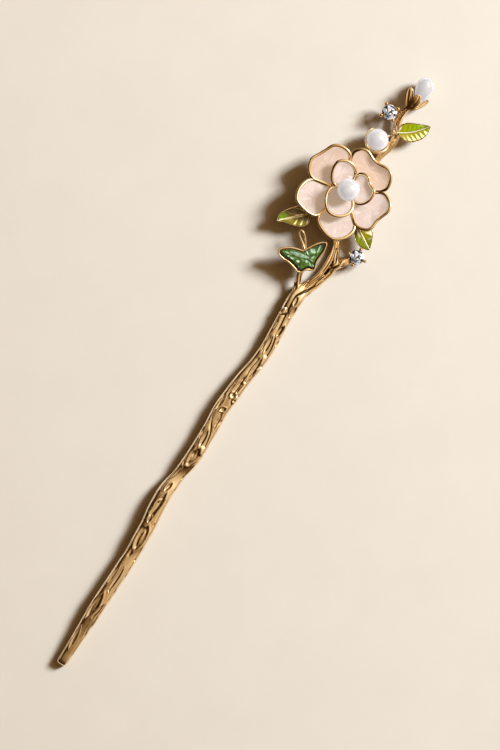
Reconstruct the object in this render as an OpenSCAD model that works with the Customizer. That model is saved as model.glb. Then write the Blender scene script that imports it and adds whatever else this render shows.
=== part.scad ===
// Gilt hair stick: bark stick, enamelled flower, leaves, butterfly, pearls and stones.
// Millimetres. X runs from the stick's tip to its head, Z is up, and it lies on Z = 0.

/* [Build] */
// Piece to draw

/* [Sizes] */
// Thickness of the stick as a share of the measured thickness
stout = 1; // [0.92:0.02:1.06]
// Depth of the bark hollows as a share of the drawn depth
bark = 1; // [0.4:0.1:1.2]
// Width of the rim round each petal
rim_w = 0.5; // [0.42:0.02:0.56]
// Height of each rim above the floor of its tray
rim_h = 0.45; // [0.4:0.05:0.6]
// Thickness of the enamel in its trays
enamel_t = 0.26; // [0.2:0.02:0.32]
// Clearance round enamel, pearls and stones
gap = 0.06; // [0.04:0.01:0.09]
// Diameter of the pearl in the flower
centre_pearl_d = 5.8; // [5.4:0.1:6]
// Diameter of the pearl beside the flower
bud_pearl_d = 5.7; // [5.4:0.1:5.8]
// Diameter of the drop pearl's round end
drop_pearl_d = 4.7; // [4.4:0.1:4.8]
// Diameter of the clear stones
stone_d = 4; // [3.7:0.1:4.1]

/* [Hidden] */

gilt = [0.86, 0.66, 0.38];
peach = [0.93, 0.8, 0.75];
lime = [0.55, 0.66, 0.1];
jade = [0.16, 0.36, 0.18];
pearl = [0.94, 0.93, 0.92];
clear = [0.8, 0.85, 0.9];

// Middle of the whole piece in plan, taken off so that it stands on the origin
plan_mid = [-0.5, -0.1];

// Stick stations, tip first: x, middle y, width
stick = [
  [-90.1, -1.40, 1.9], [-89.4, -1.40, 2.7], [-86, -1.50, 3.0], [-80, -1.50, 3.4],
  [-75, -1.55, 3.9], [-70, -1.57, 4.05], [-65, -1.73, 4.05], [-60, -1.85, 4.1],
  [-56, -1.92, 3.95], [-52, -1.78, 4.2], [-47, -1.47, 4.25], [-42, -0.90, 4.35],
  [-37, -0.80, 4.2], [-32, -1.40, 3.5], [-28, -1.95, 4.1], [-25, -2.10, 4.2],
  [-21, -2.05, 4.1], [-17, -1.95, 4.1], [-12, -1.65, 4.2], [-7, -2.00, 4.3],
  [-2, -2.45, 4.1], [3, -3.20, 3.9], [8, -3.45, 3.8], [13, -3.20, 3.8],
  [18, -2.90, 3.8], [23, -2.85, 4.2], [26.5, -3.25, 3.2],
];

// Bark hollows on the upper side: x, y, length, width, depth, slant in degrees
hollows = [
  [-82.0, -0.90, 6.5, 0.9, 0.30, 0], [-78.0, -2.70, 5.0, 1.1, 0.16, 0],
  [-72.3, -0.70, 7.2, 1.7, 0.42, 0], [-73.0, -2.20, 5.0, 0.8, 0.16, -8],
  [-62.8, -0.60, 5.0, 0.9, 0.30, -2], [-62.0, -1.90, 7.0, 0.9, 0.30, 2],
  [-66.5, -2.90, 6.0, 0.9, 0.15, 0], [-54.5, -0.95, 7.0, 1.0, 0.36, 10],
  [-51.0, -1.75, 5.8, 1.9, 0.50, 4], [-56.0, -3.00, 5.0, 0.9, 0.15, 0],
  [-42.3, -1.10, 8.4, 1.5, 0.50, 0], [-43.4, 0.30, 4.0, 0.8, 0.26, 4],
  [-36.0, -0.50, 3.2, 1.3, 0.40, -12], [-32.5, -0.50, 6.0, 0.9, 0.36, -18],
  [-40.0, -2.40, 6.0, 0.8, 0.15, 2], [-26.4, -1.90, 5.2, 2.3, 0.55, 12],
  [-29.0, -0.80, 4.0, 0.9, 0.30, 10], [-20.6, -1.75, 5.0, 1.1, 0.40, 6],
  [-18.7, -0.45, 4.6, 0.8, 0.30, 4], [-14.0, -2.00, 4.8, 1.6, 0.42, 14],
  [-10.2, -0.65, 4.8, 1.1, 0.42, -4], [-4.3, -1.40, 6.5, 0.9, 0.36, -6],
  [-1.2, -3.20, 4.6, 1.0, 0.36, -8], [2.0, -2.60, 6.5, 1.4, 0.48, -5],
  [3.3, -4.20, 4.0, 0.8, 0.26, -6], [8.6, -3.20, 5.4, 1.5, 0.50, 0],
  [13.4, -3.80, 4.6, 1.3, 0.50, 12], [14.8, -2.60, 3.6, 0.8, 0.32, 6],
  [20.3, -3.90, 5.6, 1.6, 0.50, -4], [21.5, -1.60, 5.0, 1.0, 0.40, 12],
];

// Crossing strands that stand proud: from x, from y, to x, to y, width, height
strands = [
  [-60.0, -2.2, -49.5, 0.0, 0.9, 0.20], [-37.5, 0.9, -29.0, -1.9, 0.9, 0.22],
  [-24.0, -3.4, -10.5, 0.1, 1.0, 0.26], [-9.0, -3.4, -4.5, -2.3, 1.3, 0.24],
  [5.0, -4.7, 24.0, -2.2, 0.9, 0.26], [17.4, -1.9, 19.4, -1.7, 1.2, 0.30],
];

// Upright angles of the points round the stick, more of them on the side that is seen
around = [0, 18, 37, 55, 73, 90, 107, 125, 143, 162, 180, 208, 244, 296, 332];

// Two strands of the branch: x, y, z, half width, half height
right_strand = [
  [20, -3.3, 1.4, 0.7, 0.8], [25, -4.0, 1.3, 1.1, 1.1], [28, -5.25, 1.15, 0.95, 1.1],
  [31, -6.2, 1.05, 0.85, 1.05], [33.6, -6.85, 1.0, 0.95, 1.0], [35.8, -6.6, 0.9, 0.85, 0.9],
  [37.8, -6.0, 0.9, 0.75, 0.9], [39.6, -5.25, 0.85, 0.6, 0.85], [41.6, -4.35, 0.85, 0.55, 0.85],
  [46, -4.0, 0.85, 0.6, 0.8], [54, -3.7, 0.85, 0.6, 0.8],
  [60, -2.6, 0.85, 0.6, 0.75], [64.5, -2.0, 0.9, 0.6, 0.75], [68, -2.9, 1.0, 0.6, 0.7],
  [70.3, -3.3, 1.2, 0.6, 0.7], [72.3, -3.1, 1.45, 0.55, 0.7], [74.0, -2.3, 1.8, 0.55, 0.65],
  [75.9, -1.5, 2.1, 0.5, 0.65], [78.2, -1.25, 2.5, 0.5, 0.6], [80.6, -1.7, 2.9, 0.6, 0.6],
];
left_strand = [
  [20, -2.6, 1.6, 0.7, 0.7], [24.5, -2.9, 1.7, 0.95, 0.85], [28, -3.7, 1.6, 0.75, 0.8],
  [31, -4.8, 1.5, 0.75, 0.75], [34, -5.15, 1.4, 0.9, 0.8], [36.8, -5.0, 1.3, 0.85, 0.85],
  [38.8, -4.5, 1.2, 0.6, 0.8], [40.6, -3.7, 1.1, 0.55, 0.8], [43.8, -1.0, 0.95, 0.6, 0.8],
  [47.2, 2.4, 0.8, 0.75, 0.75],
  [50.5, 2.4, 0.82, 0.75, 0.8], [53.5, 0.5, 0.95, 0.9, 0.8], [58, -0.9, 0.95, 0.6, 0.75],
  [62.5, -1.2, 1.1, 0.55, 0.7], [66, -1.6, 1.3, 0.55, 0.7], [68.6, -2.1, 1.5, 0.5, 0.65],
  [70.6, -2.3, 1.7, 0.5, 0.6], [72.3, -1.8, 1.9, 0.45, 0.6], [74.2, -0.9, 2.2, 0.45, 0.6],
  [76.6, -0.35, 2.6, 0.45, 0.55], [79.4, -0.9, 3.0, 0.45, 0.5], [81, -1.6, 3.1, 0.5, 0.5],
];
left_prong = [
  [20.5, -2.3, 1.7, 0.8, 0.8], [23.5, -1.9, 2.1, 0.95, 0.85], [26, -1.2, 2.6, 0.85, 0.75],
  [28.2, -0.5, 3.2, 0.8, 0.65], [30.4, 0.2, 3.65, 0.85, 0.45], [32.4, 0.9, 3.8, 0.6, 0.3],
];
side_twig = [
  [33.2, -6.6, 1.1, 0.5, 0.6], [34.8, -7.1, 1.1, 0.9, 0.85], [36.2, -7.8, 1.05, 1.05, 0.85],
  [37.5, -8.7, 1.0, 1.0, 0.75], [38.9, -9.9, 0.85, 0.95, 0.65], [40.1, -10.7, 0.75, 0.7, 0.4],
];
bud_stalk = [
  [65.3, -1.9, 1.2, 0.6, 0.6], [66.4, -0.9, 1.4, 0.6, 0.5], [67.6, 0.3, 1.5, 0.7, 0.35],
];
stone_stalk = [
  [76.2, -0.5, 2.3, 0.4, 0.45], [76.5, 0.6, 2.0, 0.5, 0.45], [76.5, 1.9, 1.75, 0.7, 0.3],
];
left_leaf_stalk = [
  [47, 2.4, 0.9, 0.55, 0.55], [45.7, 3.6, 1.7, 0.45, 0.45], [44.2, 5.2, 2.6, 0.45, 0.35],
  [42.7, 7.0, 3.0, 0.5, 0.25],
];
lower_leaf_stalk = [
  [50.5, -4.0, 0.9, 0.55, 0.55], [49.2, -4.9, 1.7, 0.45, 0.45], [47.9, -6.2, 2.35, 0.45, 0.35],
  [46.5, -8.0, 2.6, 0.5, 0.28],
];
upper_leaf_stalk = [
  [70.7, -0.7, 2.0, 0.25, 0.3], [71.3, -1.0, 2.35, 0.42, 0.4], [72.2, -1.5, 2.45, 0.5, 0.4],
  [73.2, -2.4, 2.4, 0.45, 0.35], [74.3, -3.6, 2.35, 0.5, 0.25],
];

// Sepals of the drop pearl's cup: x, y, z, half width, half height
left_sepal = [
  [79.8, -1.35, 2.9, 0.5, 0.5], [80.9, -0.85, 3.1, 0.85, 0.5], [82.1, -0.35, 3.5, 1.0, 0.5],
  [83.3, 0.2, 4.0, 1.0, 0.42], [84.1, 0.58, 4.35, 0.8, 0.34], [84.6, 0.82, 4.5, 0.35, 0.22],
];
middle_sepal = [
  [79.8, -1.3, 3.3, 0.5, 0.5], [80.9, -1.7, 4.2, 1.0, 0.5], [82.0, -2.0, 5.1, 1.2, 0.4],
  [83.0, -2.1, 5.6, 1.1, 0.32], [83.9, -2.0, 5.85, 0.6, 0.22],
];
right_sepal = [
  [79.7, -1.5, 2.8, 0.5, 0.5], [80.6, -2.2, 2.85, 0.8, 0.5], [81.5, -3.05, 2.8, 0.8, 0.45],
  [82.5, -3.85, 2.5, 0.7, 0.42], [83.6, -4.4, 2.1, 0.62, 0.33], [84.4, -4.8, 2.1, 0.35, 0.25],
];

// Petals: from angle, to angle, notch radius there, notch radius here, bulge, bulge power,
// dip depth, dip place, dip width, lift of its outer rim, drop of its side rims
outer_mid = [52.93, 0.89];
outer_table = [
  [23.2, 101, 9.9, 9.6, 4.6, 1.3, 2.12, 0, 0.34, -0.5, 0],
  [-59.2, 23.2, 9.9, 9.9, 3.98, 1.57, 2.6, 0.1, 0.37, -0.2, 0.12],
  [-132, -59.2, 9.6, 10, 4.37, 1.3, 2.5, -0.06, 0.38, 0, 0.04],
  [163.4, 228, 10, 9.7, 3.59, 1.42, 0.6, -0.5, 0.6, 0.1, 0.16],
  [101, 163.4, 9.6, 10, 3.81, 1.3, 0.6, 0.36, 0.6, 0.5, 0.08],
];
inner_mid = [53.47, 0.47];
inner_table = [
  [3, 104.5, 4.7, 4.2, 4.23, 1.41, 1.15, 0.5, 0.58, 0, 0],
  [-123, 3, 3.5, 4.9, 2.92, 1.55, 0.82, 0.29, 0.2, 0.1, 0.14],
  [104.5, 237, 4.3, 3.7, 4.5, 1.43, 1.08, -0.5, 0.6, 0.2, 0.07],
];
// Flower layers: middle, rim height at the middle, rise to the edge, edge radius,
// petal centre radius, inner end radius, bowl depth
outer_layer = [outer_mid, 4.6, 2.4, 12.8, 8.2, 3.6, 0.6];
inner_layer = [inner_mid, 5.9, 2.3, 8.5, 4.7, 1.9, 0.45];
sheet_t = 0.6;

// Leaves: base point, height of base, height of tip, heading, and a table of
// along, bow, left half width, right half width
upper_leaf = [[73.0, -2.25], 2.6, 3.4, -47.7, [
  [0, 0, 0.3, 0.6], [1.45, -0.39, 2.15, 2.0], [3.05, -0.6, 2.65, 2.6], [4.65, -0.62, 2.35, 2.6],
  [6.25, -0.47, 1.65, 2.45], [7.8, -0.23, 0.85, 1.7], [9.1, 0, 0.06, 0.06]]];
left_leaf = [[43.6, 5.4], 3.1, 4.4, 134.7, [
  [0, 0, 0.6, 0.5], [1.33, 0, 2.4, 2.2], [2.67, 0, 2.9, 2.7], [4.26, 0, 2.65, 2.6],
  [5.86, 0, 1.8, 2.45], [7.46, 0, 0.8, 2.0], [8.5, 0, 0.4, 1.3], [9.3, 0, 0.06, 0.06]]];
lower_leaf = [[47.9, -5.1], 2.7, 3.4, -121.4, [
  [0, 0, 0.5, 0.5], [1.5, 0, 1.8, 1.2], [3, 0, 2.8, 1.8], [4.5, 0, 3.0, 2.2],
  [6, 0, 2.3, 2.15], [7.2, 0, 1.4, 1.65], [8.1, 0, 0.6, 0.85], [8.7, 0, 0.06, 0.06]]];
leaf_rim = 0.26;
rib_w = 0.36;
leaf_wall = 0.34;

// Butterfly outline, anticlockwise from the right wing's tip
wing = [
  [39.3, -1.7], [38.4, -0.4], [36.8, 0.8], [35.1, 1.8], [34.3, 2.4], [34.1, 3.2], [33.5, 5.0],
  [32.5, 6.6], [31.4, 7.6], [30.4, 7.6], [29.8, 6.7], [29.5, 5.2], [29.5, 3.6], [29.1, 1.9],
  [28.6, 0.4], [29.1, -0.7], [30.1, -1.2], [30.6, -2.0], [31.0, -2.9], [31.8, -3.2],
  [32.7, -2.9], [33.8, -2.6], [35.4, -2.7], [37.2, -2.8], [38.8, -2.4],
];
wing_mid = [33.2, 0.3];
wing_rim = 0.42;
// Loop feeler: x, y, z, half width, half height
feeler = [
  [34.75, 2.15, 4.6, 0.42, 0.4], [35.55, 2.95, 4.7, 0.34, 0.32], [36.4, 4.05, 4.9, 0.27, 0.27],
  [37.1, 4.95, 5.1, 0.25, 0.25], [37.85, 5.42, 5.25, 0.25, 0.25], [38.4, 5.2, 5.3, 0.25, 0.25],
  [38.15, 4.4, 5.25, 0.25, 0.25], [37.35, 3.5, 5.05, 0.26, 0.26], [36.35, 2.75, 4.8, 0.32, 0.3],
  [35.1, 2.05, 4.5, 0.42, 0.4],
];

bud_mid = [68.7, 1.0, 4.4];
// Drop pearl: narrow end, height, heading and length
drop_base = [83.5, -2.75, 3.5];
drop_turn = 9;
drop_len = 5.9;
upper_stone_mid = [76.4, 2.1, 4.2];
lower_stone_mid = [40.1, -10.6, 3.0];
upper_stone_turn = 52;
lower_stone_turn = 5;
post_r = 0.55;
pin_r = 0.4;

function smooth(t) = let (c = min(max(t, 0), 1)) c * c * (3 - 2 * c);
function unit(v) = v / max(norm(v), 1e-9);
function curve(a, b, c, d, t) =
  0.5 * (2 * b + (c - a) * t + (2 * a - 5 * b + 4 * c - d) * t * t
  + (3 * b - a - 3 * c + d) * t * t * t);
// Point of a smooth curve through the rows of a table, s from 0 to 1
function along(tab, s) =
  let (n = len(tab) - 1, u = min(max(s, 0), 1) * n, i = min(floor(u), n - 1))
  curve(tab[max(i - 1, 0)], tab[i], tab[i + 1], tab[min(i + 2, n)], u - i);
// The same for a closed table, s from 0 to 1 goes once round
function round_trip(tab, s) =
  let (n = len(tab), u = s * n, i = floor(u))
  curve(tab[(i + n - 1) % n], tab[i % n], tab[(i + 1) % n], tab[(i + 2) % n], u - i);

// How far a bark point is sunk (positive) or proud (negative)
function almond(h, x, y) =
  let (dx = x - h[0], dy = y - h[1], u = (dx * cos(h[5]) + dy * sin(h[5])) / h[2] * 2,
    v = (dy * cos(h[5]) - dx * sin(h[5])) / h[3] * 2, m = abs(v) + u * u)
  h[4] * (smooth((1.15 - m) / 0.75) - 0.25 * exp(-pow((m - 1.35) / 0.3, 2)));
function proud(r, x, y) =
  let (d = [r[2] - r[0], r[3] - r[1]], q = [x - r[0], y - r[1]],
    t = min(max(q * d / (d * d), 0), 1), e = norm(q - d * t) / r[4])
  r[5] * exp(-e * e * 2.2) * smooth(min(t, 1 - t) * 8 + 0.3);
function total(v, i = 0) = i >= len(v) ? 0 : v[i] + total(v, i + 1);
function sunk(x, y) =
  total([for (h = hollows) if (abs(x - h[0]) < h[2] * 0.8) almond(h, x, y)])
  - total([for (r = strands) if (x > r[0] - 1.5 && x < r[2] + 1.5) proud(r, x, y)]);

// A closed solid from an end point, rings of points and another end point. Each ring
// runs anticlockwise as seen from the first end point. Bands from number turned on are
// split along their other diagonal.
module solid_rings(first, rings, last, turned = 99) {
  n = len(rings[0]);
  m = len(rings);
  polyhedron(
    points = concat([first], [for (r = rings) each r], [last]),
    faces = concat(
      [for (j = [0:n - 1]) [0, 1 + (j + 1) % n, 1 + j]],
      [for (i = [0:m - 2], j = [0:n - 1]) let (a = 1 + i * n, k = (j + 1) % n)
        each i < turned ? [[a + j, a + k, a + n + k], [a + j, a + n + k, a + n + j]]
          : [[a + j, a + k, a + n + j], [a + k, a + n + k, a + n + j]]],
      [for (j = [0:n - 1]) let (a = 1 + (m - 1) * n) [a + j, a + (j + 1) % n, a + n]]),
    convexity = 6);
}

// Ring of points round a path point: p is x, y, z, half width, half height
function hoop(p, dir, angles) =
  let (s = unit(cross(dir, [0, 0, 1])), u = cross(s, dir))
  [for (a = angles) [p[0], p[1], p[2]] + s * p[3] * cos(a) + u * p[4] * sin(a)];
function spot(p) = [p[0], p[1], p[2]];
function heading(tab, s) = unit(spot(along(tab, s + 0.004)) - spot(along(tab, s - 0.004)));
module tube(tab, steps, sides) {
  angles = [for (j = [0:sides - 1]) j * 360 / sides];
  rings = [for (i = [0:steps]) hoop(along(tab, i / steps), heading(tab, i / steps), angles)];
  solid_rings(
    spot(tab[0]) - heading(tab, 0) * tab[0][4] * 0.5, rings,
    spot(tab[len(tab) - 1]) + heading(tab, 1) * tab[len(tab) - 1][4] * 0.5);
}
module ball(p, r) {
  translate(p)
    sphere(r, $fn = 7);
}

// Bark stick
function stick_row(s) =
  let (p = along(stick, s), w = p[2] / 2 * stout)
  [p[0], p[1], w * 0.88, w, w * 0.88];
function bark_ring(s) =
  let (p = stick_row(s), q = stick_row(s + 0.004), o = stick_row(s - 0.004),
    dir = unit([q[0] - o[0], q[1] - o[1], 0]), ends = smooth((p[0] + 90) / 2))
  [for (i = [0:len(around) - 1])
    let (a = around[i], raw = hoop(p, dir, [a])[0], up = sin(a) >= 0,
      fade = smooth(abs(sin(a)) * 2.6) * ends * bark,
      sink = up ? sunk(raw[0], raw[1]) : sunk(raw[0] + 4, 2 * p[1] - raw[1]) * 0.6,
      c = spot(p))
    c + (raw - c) * (1 - sink * fade / p[3])];
module stick_body() {
  steps = 92;
  rings = [for (i = [0:steps]) bark_ring(i / steps)];
  solid_rings([stick[0][0] - 0.25, stick[0][1], stick[0][2] * 0.44], rings,
    [stick[len(stick) - 1][0] + 0.4, stick[len(stick) - 1][1], 1.4]);
}

// Petal outline about the layer's middle, 19 points
function reach(p, s) =
  p[2] * (1 - s) / 2 + p[3] * (1 + s) / 2
  + p[4] * pow(max(1 - pow(abs(s), p[5]), 0), 1 / p[5])
  - p[6] * exp(-pow((s - p[7]) / p[8], 2));
function polar(mid, r, a) = [mid[0] + r * cos(a), mid[1] + r * sin(a)];
function side_point(mid, r, a, off) = polar(mid, r, a) + off * [-sin(a), cos(a)];
function petal_line(lay, p) =
  let (mid = lay[0], a0 = p[0], a1 = p[1], half = rim_w / 2)
  concat(
    [for (j = [0:13]) let (s = sin(j * 180 / 13 - 90), t = (a0 + a1) / 2 + s * (a1 - a0) / 2)
      polar(mid, reach(p, s), t)],
    [side_point(mid, p[3] * 0.8, a1, half), side_point(mid, lay[5], a1, half),
      polar(mid, lay[5], (a0 + a1) / 2),
      side_point(mid, lay[5], a0, -half), side_point(mid, p[2] * 0.8, a0, -half)]);
// How much of the petal's own lift each outline point takes
function petal_lift(p) =
  concat([for (j = [0:13]) let (s = sin(j * 180 / 13 - 90)) p[9] * (1 - s * s) - p[10] * s * s],
    [for (j = [0:4]) -p[10]]);
function inset(line, d) =
  let (n = len(line))
  [for (j = [0:n - 1])
    let (e = unit(line[j] - line[(j + n - 1) % n]), f = unit(line[(j + 1) % n] - line[j]),
      t = unit(e + f))
    line[j] + d * [-t[1], t[0]]];
function rim_z(lay, q) = lay[1] + lay[2] * pow(norm(q - lay[0]) / lay[3], 2);
function petal_mid(lay, p) = polar(lay[0], lay[4], (p[0] + p[1]) / 2);
function bowl_z(lay, p) = rim_z(lay, petal_mid(lay, p)) - rim_h - lay[6];
function ring_at(line, z, lift) = [for (j = [0:len(line) - 1]) [line[j][0], line[j][1], z[j] + lift]];
function toward(line, c, t) = [for (q = line) c + (q - c) * t];

module petal_tray(lay, p) {
  line = petal_line(lay, p);
  lift = petal_lift(p);
  c = petal_mid(lay, p);
  zb = bowl_z(lay, p);
  z = [for (j = [0:len(line) - 1]) rim_z(lay, line[j]) + lift[j]];
  floor_line = inset(line, rim_w + 0.08);
  mid_z = [for (v = z) zb + (v - rim_h - zb) * 0.3];
  solid_rings([c[0], c[1], zb], [
    ring_at(toward(floor_line, c, 0.55), mid_z, 0),
    ring_at(floor_line, z, -rim_h),
    ring_at(inset(line, rim_w * 0.7), z, -0.03),
    ring_at(inset(line, rim_w * 0.25), z, 0),
    ring_at(line, z, -0.2),
    ring_at(inset(line, 0.05), z, -rim_h - 0.35),
    ring_at(toward(floor_line, c, 0.55), mid_z, -sheet_t),
  ], [c[0], c[1], zb - sheet_t]);
}
module petal_enamel(lay, p) {
  line = petal_line(lay, p);
  lift = petal_lift(p);
  c = petal_mid(lay, p);
  zb = bowl_z(lay, p);
  z = [for (j = [0:len(line) - 1]) rim_z(lay, line[j]) + lift[j]];
  floor_line = inset(line, rim_w + 0.08);
  mid_z = [for (v = z) zb + (v - rim_h - zb) * 0.3];
  edge = [for (q = floor_line) q + unit(c - q) * (gap + 0.02)];
  edge_z = [for (j = [0:len(line) - 1])
    let (back = (gap + 0.02) / norm(c - floor_line[j]) / 0.45)
    z[j] - rim_h + (mid_z[j] - z[j] + rim_h) * back];
  solid_rings([c[0], c[1], zb + gap + enamel_t], [
    ring_at(toward(floor_line, c, 0.55), mid_z, gap + enamel_t),
    ring_at(edge, edge_z, gap + enamel_t),
    ring_at(edge, edge_z, gap),
    ring_at(toward(floor_line, c, 0.55), mid_z, gap),
  ], [c[0], c[1], zb + gap], turned = 2);
}

module outer_petals() {
  color(gilt)
    place()
      difference() {
        union() {
          for (p = outer_table)
            petal_tray(outer_layer, p);
          translate([outer_mid[0], outer_mid[1], 3.7])
            cylinder(h = 0.42, r = 4.3, $fn = 18);
          translate([inner_mid[0], inner_mid[1], 3.8])
            cylinder(h = 0.9, r = 2.2, $fn = 18);
          hub_links(outer_mid, 3.4, 3.78, 4.05);
        }
        translate([inner_mid[0], inner_mid[1], 3])
          cylinder(h = 4, r = post_r + 0.08, $fn = 20);
      }
}
module inner_petals() {
  color(gilt)
    place()
      difference() {
        union() {
          for (p = inner_table)
            petal_tray(inner_layer, p);
          translate([inner_mid[0], inner_mid[1], 4.77])
            cylinder(h = 0.6, r = 2.6, $fn = 20);
          translate([inner_mid[0], inner_mid[1], 4.9])
            cylinder(h = 0.9, r = 1.6, $fn = 18);
          hub_links(inner_mid, 1.5, 5.0, 5.6);
        }
        translate([inner_mid[0], inner_mid[1], 4])
          cylinder(h = 4, r = post_r + 0.08, $fn = 20);
      }
}
// Eight small ribs under a flower layer's middle
module hub_links(mid, r, z0, z1) {
  for (k = [0:7])
    hull() {
      translate([mid[0] + r * 0.5 * cos(k * 45), mid[1] + r * 0.5 * sin(k * 45), (z0 + z1) / 2])
        cube([0.5, 0.5, z1 - z0], center = true);
      translate([mid[0] + r * cos(k * 45), mid[1] + r * sin(k * 45), (z0 + z1) / 2])
        cube([0.4, 0.4, z1 - z0], center = true);
    }
}

// Leaf surface point at a distance along it and a share across it, left positive
function leaf_row(leaf, a) =
  let (t = leaf[4], n = len(t) - 1, i = max([for (k = [0:n - 1]) if (a >= t[k][0]) k]),
    f = (a - t[i][0]) / (t[i + 1][0] - t[i][0]))
  curve(t[max(i - 1, 0)], t[i], t[i + 1], t[min(i + 2, n)], f);
function leaf_len(leaf) = leaf[4][len(leaf[4]) - 1][0];
function leaf_point(leaf, a, off, lift) =
  let (row = leaf_row(leaf, a), h = leaf[3], x = a, y = row[1] + off)
  [leaf[0][0] + x * cos(h) - y * sin(h), leaf[0][1] + x * sin(h) + y * cos(h),
    leaf[1] + (leaf[2] - leaf[1]) * a / leaf_len(leaf) + 0.045 * off * off + lift];
function leaf_ring(leaf, less, lift) =
  let (n = 9, a0 = less * 0.6, a1 = leaf_len(leaf) - less * 1.6)
  concat(
    [for (k = [0:n]) let (a = a0 + (a1 - a0) * sin(k * 90 / n) * sin(k * 90 / n))
      leaf_point(leaf, a, -max(leaf_row(leaf, a)[3] - less, 0.03), lift)],
    [for (k = [n:-1:0]) let (a = a0 + (a1 - a0) * sin(k * 90 / n) * sin(k * 90 / n))
      leaf_point(leaf, a, max(leaf_row(leaf, a)[2] - less, 0.03), lift)]);
function leaf_mid(leaf, lift) = leaf_point(leaf, leaf_len(leaf) * 0.45, 0, lift);
module leaf_tray(leaf) {
  solid_rings(leaf_mid(leaf, 0), [
    leaf_ring(leaf, leaf_rim + 0.04, 0),
    leaf_ring(leaf, leaf_rim * 0.6, leaf_wall),
    leaf_ring(leaf, 0, leaf_wall - 0.1),
    leaf_ring(leaf, 0.06, -0.25),
  ], leaf_mid(leaf, -0.4));
  len_l = leaf_len(leaf);
  rib = [for (k = [0:5]) let (a = 0.2 + (len_l - 0.5) * k / 5, p = leaf_point(leaf, a, 0, 0.12))
    [p[0], p[1], p[2], rib_w / 2 * (1.2 - 0.1 * k), 0.3]];
  tube(rib, 8, 6);
}
// One enamel cell of a leaf: side is 1 for its left half, -1 for its right half
module leaf_cell(leaf, side) {
  n = 7;
  len_l = leaf_len(leaf);
  col = side > 0 ? 2 : 3;
  inner = rib_w / 2 * 1.2 + gap + 0.06;
  wide = [for (k = [0:60]) let (a = 0.6 + (len_l - 1.8) * k / 60)
    if (leaf_row(leaf, a)[col] - leaf_rim - 0.08 - gap > inner + 0.1) a];
  a0 = min(wide);
  a1 = max(wide);
  far = [for (k = [0:n]) let (a = a0 + (a1 - a0) * k / n)
    [a, max(leaf_row(leaf, a)[col] - leaf_rim - 0.08 - gap, inner + 0.08)]];
  near = [for (k = [n:-1:0]) let (a = a0 + (a1 - a0) * k / n) [a, inner]];
  line = side > 0 ? concat([for (k = [n:-1:0]) near[k]], [for (k = [n:-1:0]) far[k]])
    : concat(far, near);
  deep = 0.07 + gap;
  top = [for (q = line) leaf_point(leaf, q[0], q[1] * side, deep + 0.16)];
  low = [for (q = line) leaf_point(leaf, q[0], q[1] * side, deep)];
  mid_a = (a0 + a1) / 2;
  mid_off = (inner + leaf_row(leaf, mid_a)[col] - leaf_rim) / 2 * side;
  solid_rings(leaf_point(leaf, mid_a, mid_off, deep + 0.2), [top, low],
    leaf_point(leaf, mid_a, mid_off, deep));
}

// Butterfly: bezel and inlay share one tilted plane
function wing_z(q) = 3.75 + 0.16 * (q[1] + 0.5);
function wing_line(n) = [for (k = [0:n - 1]) round_trip(wing, k / n)];
function wing_ring(line, lift) = [for (q = line) [q[0], q[1], wing_z(q) + lift]];
module bezel() {
  line = wing_line(34);
  c = [wing_mid[0], wing_mid[1], wing_z(wing_mid)];
  solid_rings(c + [0, 0, 0.4], [
    wing_ring(inset(line, wing_rim + 0.04), 0.4),
    wing_ring(inset(line, wing_rim * 0.7), 0.92),
    wing_ring(inset(line, wing_rim * 0.25), 0.95),
    wing_ring(line, 0.8),
    wing_ring(inset(line, 0.04), 0.1),
    wing_ring(inset(line, 0.3), 0),
  ], c);
}
module butterfly_enamel() {
  line = inset(wing_line(34), wing_rim + 0.04 + gap);
  c = [wing_mid[0], wing_mid[1], wing_z(wing_mid)];
  color(jade)
    place()
      solid_rings(c + [0, 0, 0.88], [
        wing_ring(toward(line, wing_mid, 0.6), 0.86),
        wing_ring(line, 0.78),
        wing_ring(line, 0.4 + gap),
      ], c + [0, 0, 0.4 + gap]);
}

// Stone settings
module setting(mid, turn) {
  r = stone_d / 2;
  prong_r = 0.27;
  for (k = [0:3]) {
    a = turn + 90 * k;
    stand_off = r + gap + 0.05 + prong_r;
    prong = [for (q = [[0.7, -2.25], [1.5, -1.6], [stand_off - 0.05, -0.8], [stand_off, 0],
      [r + 0.32, 0.5]]) [mid[0] + q[0] * cos(a), mid[1] + q[0] * sin(a), mid[2] + q[1],
      prong_r, prong_r]];
    tube(prong, 5, 6);
    hull()
      ball(mid + [(r + 0.3) * cos(a), (r + 0.3) * sin(a), 0.64], 0.5);
  }
  translate(mid + [0, 0, -2.55])
    cylinder(h = 0.6, r1 = 0.8, r2 = 1.15, $fn = 12);
}

// Bud cup: a bowl under and beside the bud pearl, and a thin wire ring round it
function sphere_point(c, r, az, el) =
  c + r * [cos(el) * cos(az), cos(el) * sin(az), sin(el)];
bud_ring = [
  [186, -8, 0.2], [174, 2, 0.2], [150, 5, 0.2], [124, 4, 0.2], [98, 3, 0.2], [74, 0, 0.18],
  [54, -8, 0.16], [38, -24, 0.16], [24, -46, 0.16], [10, -68, 0.16],
];
module bud_cup() {
  r0 = bud_pearl_d / 2 + gap + 0.14;
  dir = unit([-0.486, -0.304, -0.82]);
  tilt = acos(-dir[2]);
  az = atan2(dir[1], dir[0]);
  arc = [for (k = [0:3]) 20.5 * k];
  translate(bud_mid)
    rotate([0, 0, az])
      rotate([0, -tilt, 0])
        rotate_extrude($fn = 16)
          polygon(concat(
            [for (a = arc) [max(r0 * sin(a), 0), -r0 * cos(a)]],
            [for (k = [3:-1:0]) [max((r0 + 0.4 + 0.06 * k) * sin(arc[k]), 0),
              -(r0 + 0.4 + 0.06 * k) * cos(arc[k])]]));
  wire = [for (q = bud_ring) let (p = sphere_point(bud_mid, bud_pearl_d / 2 + 0.16 + q[2], q[0], q[1]))
    [p[0], p[1], p[2], 0.16, 0.16]];
  tube(wire, 18, 5);
}

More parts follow.
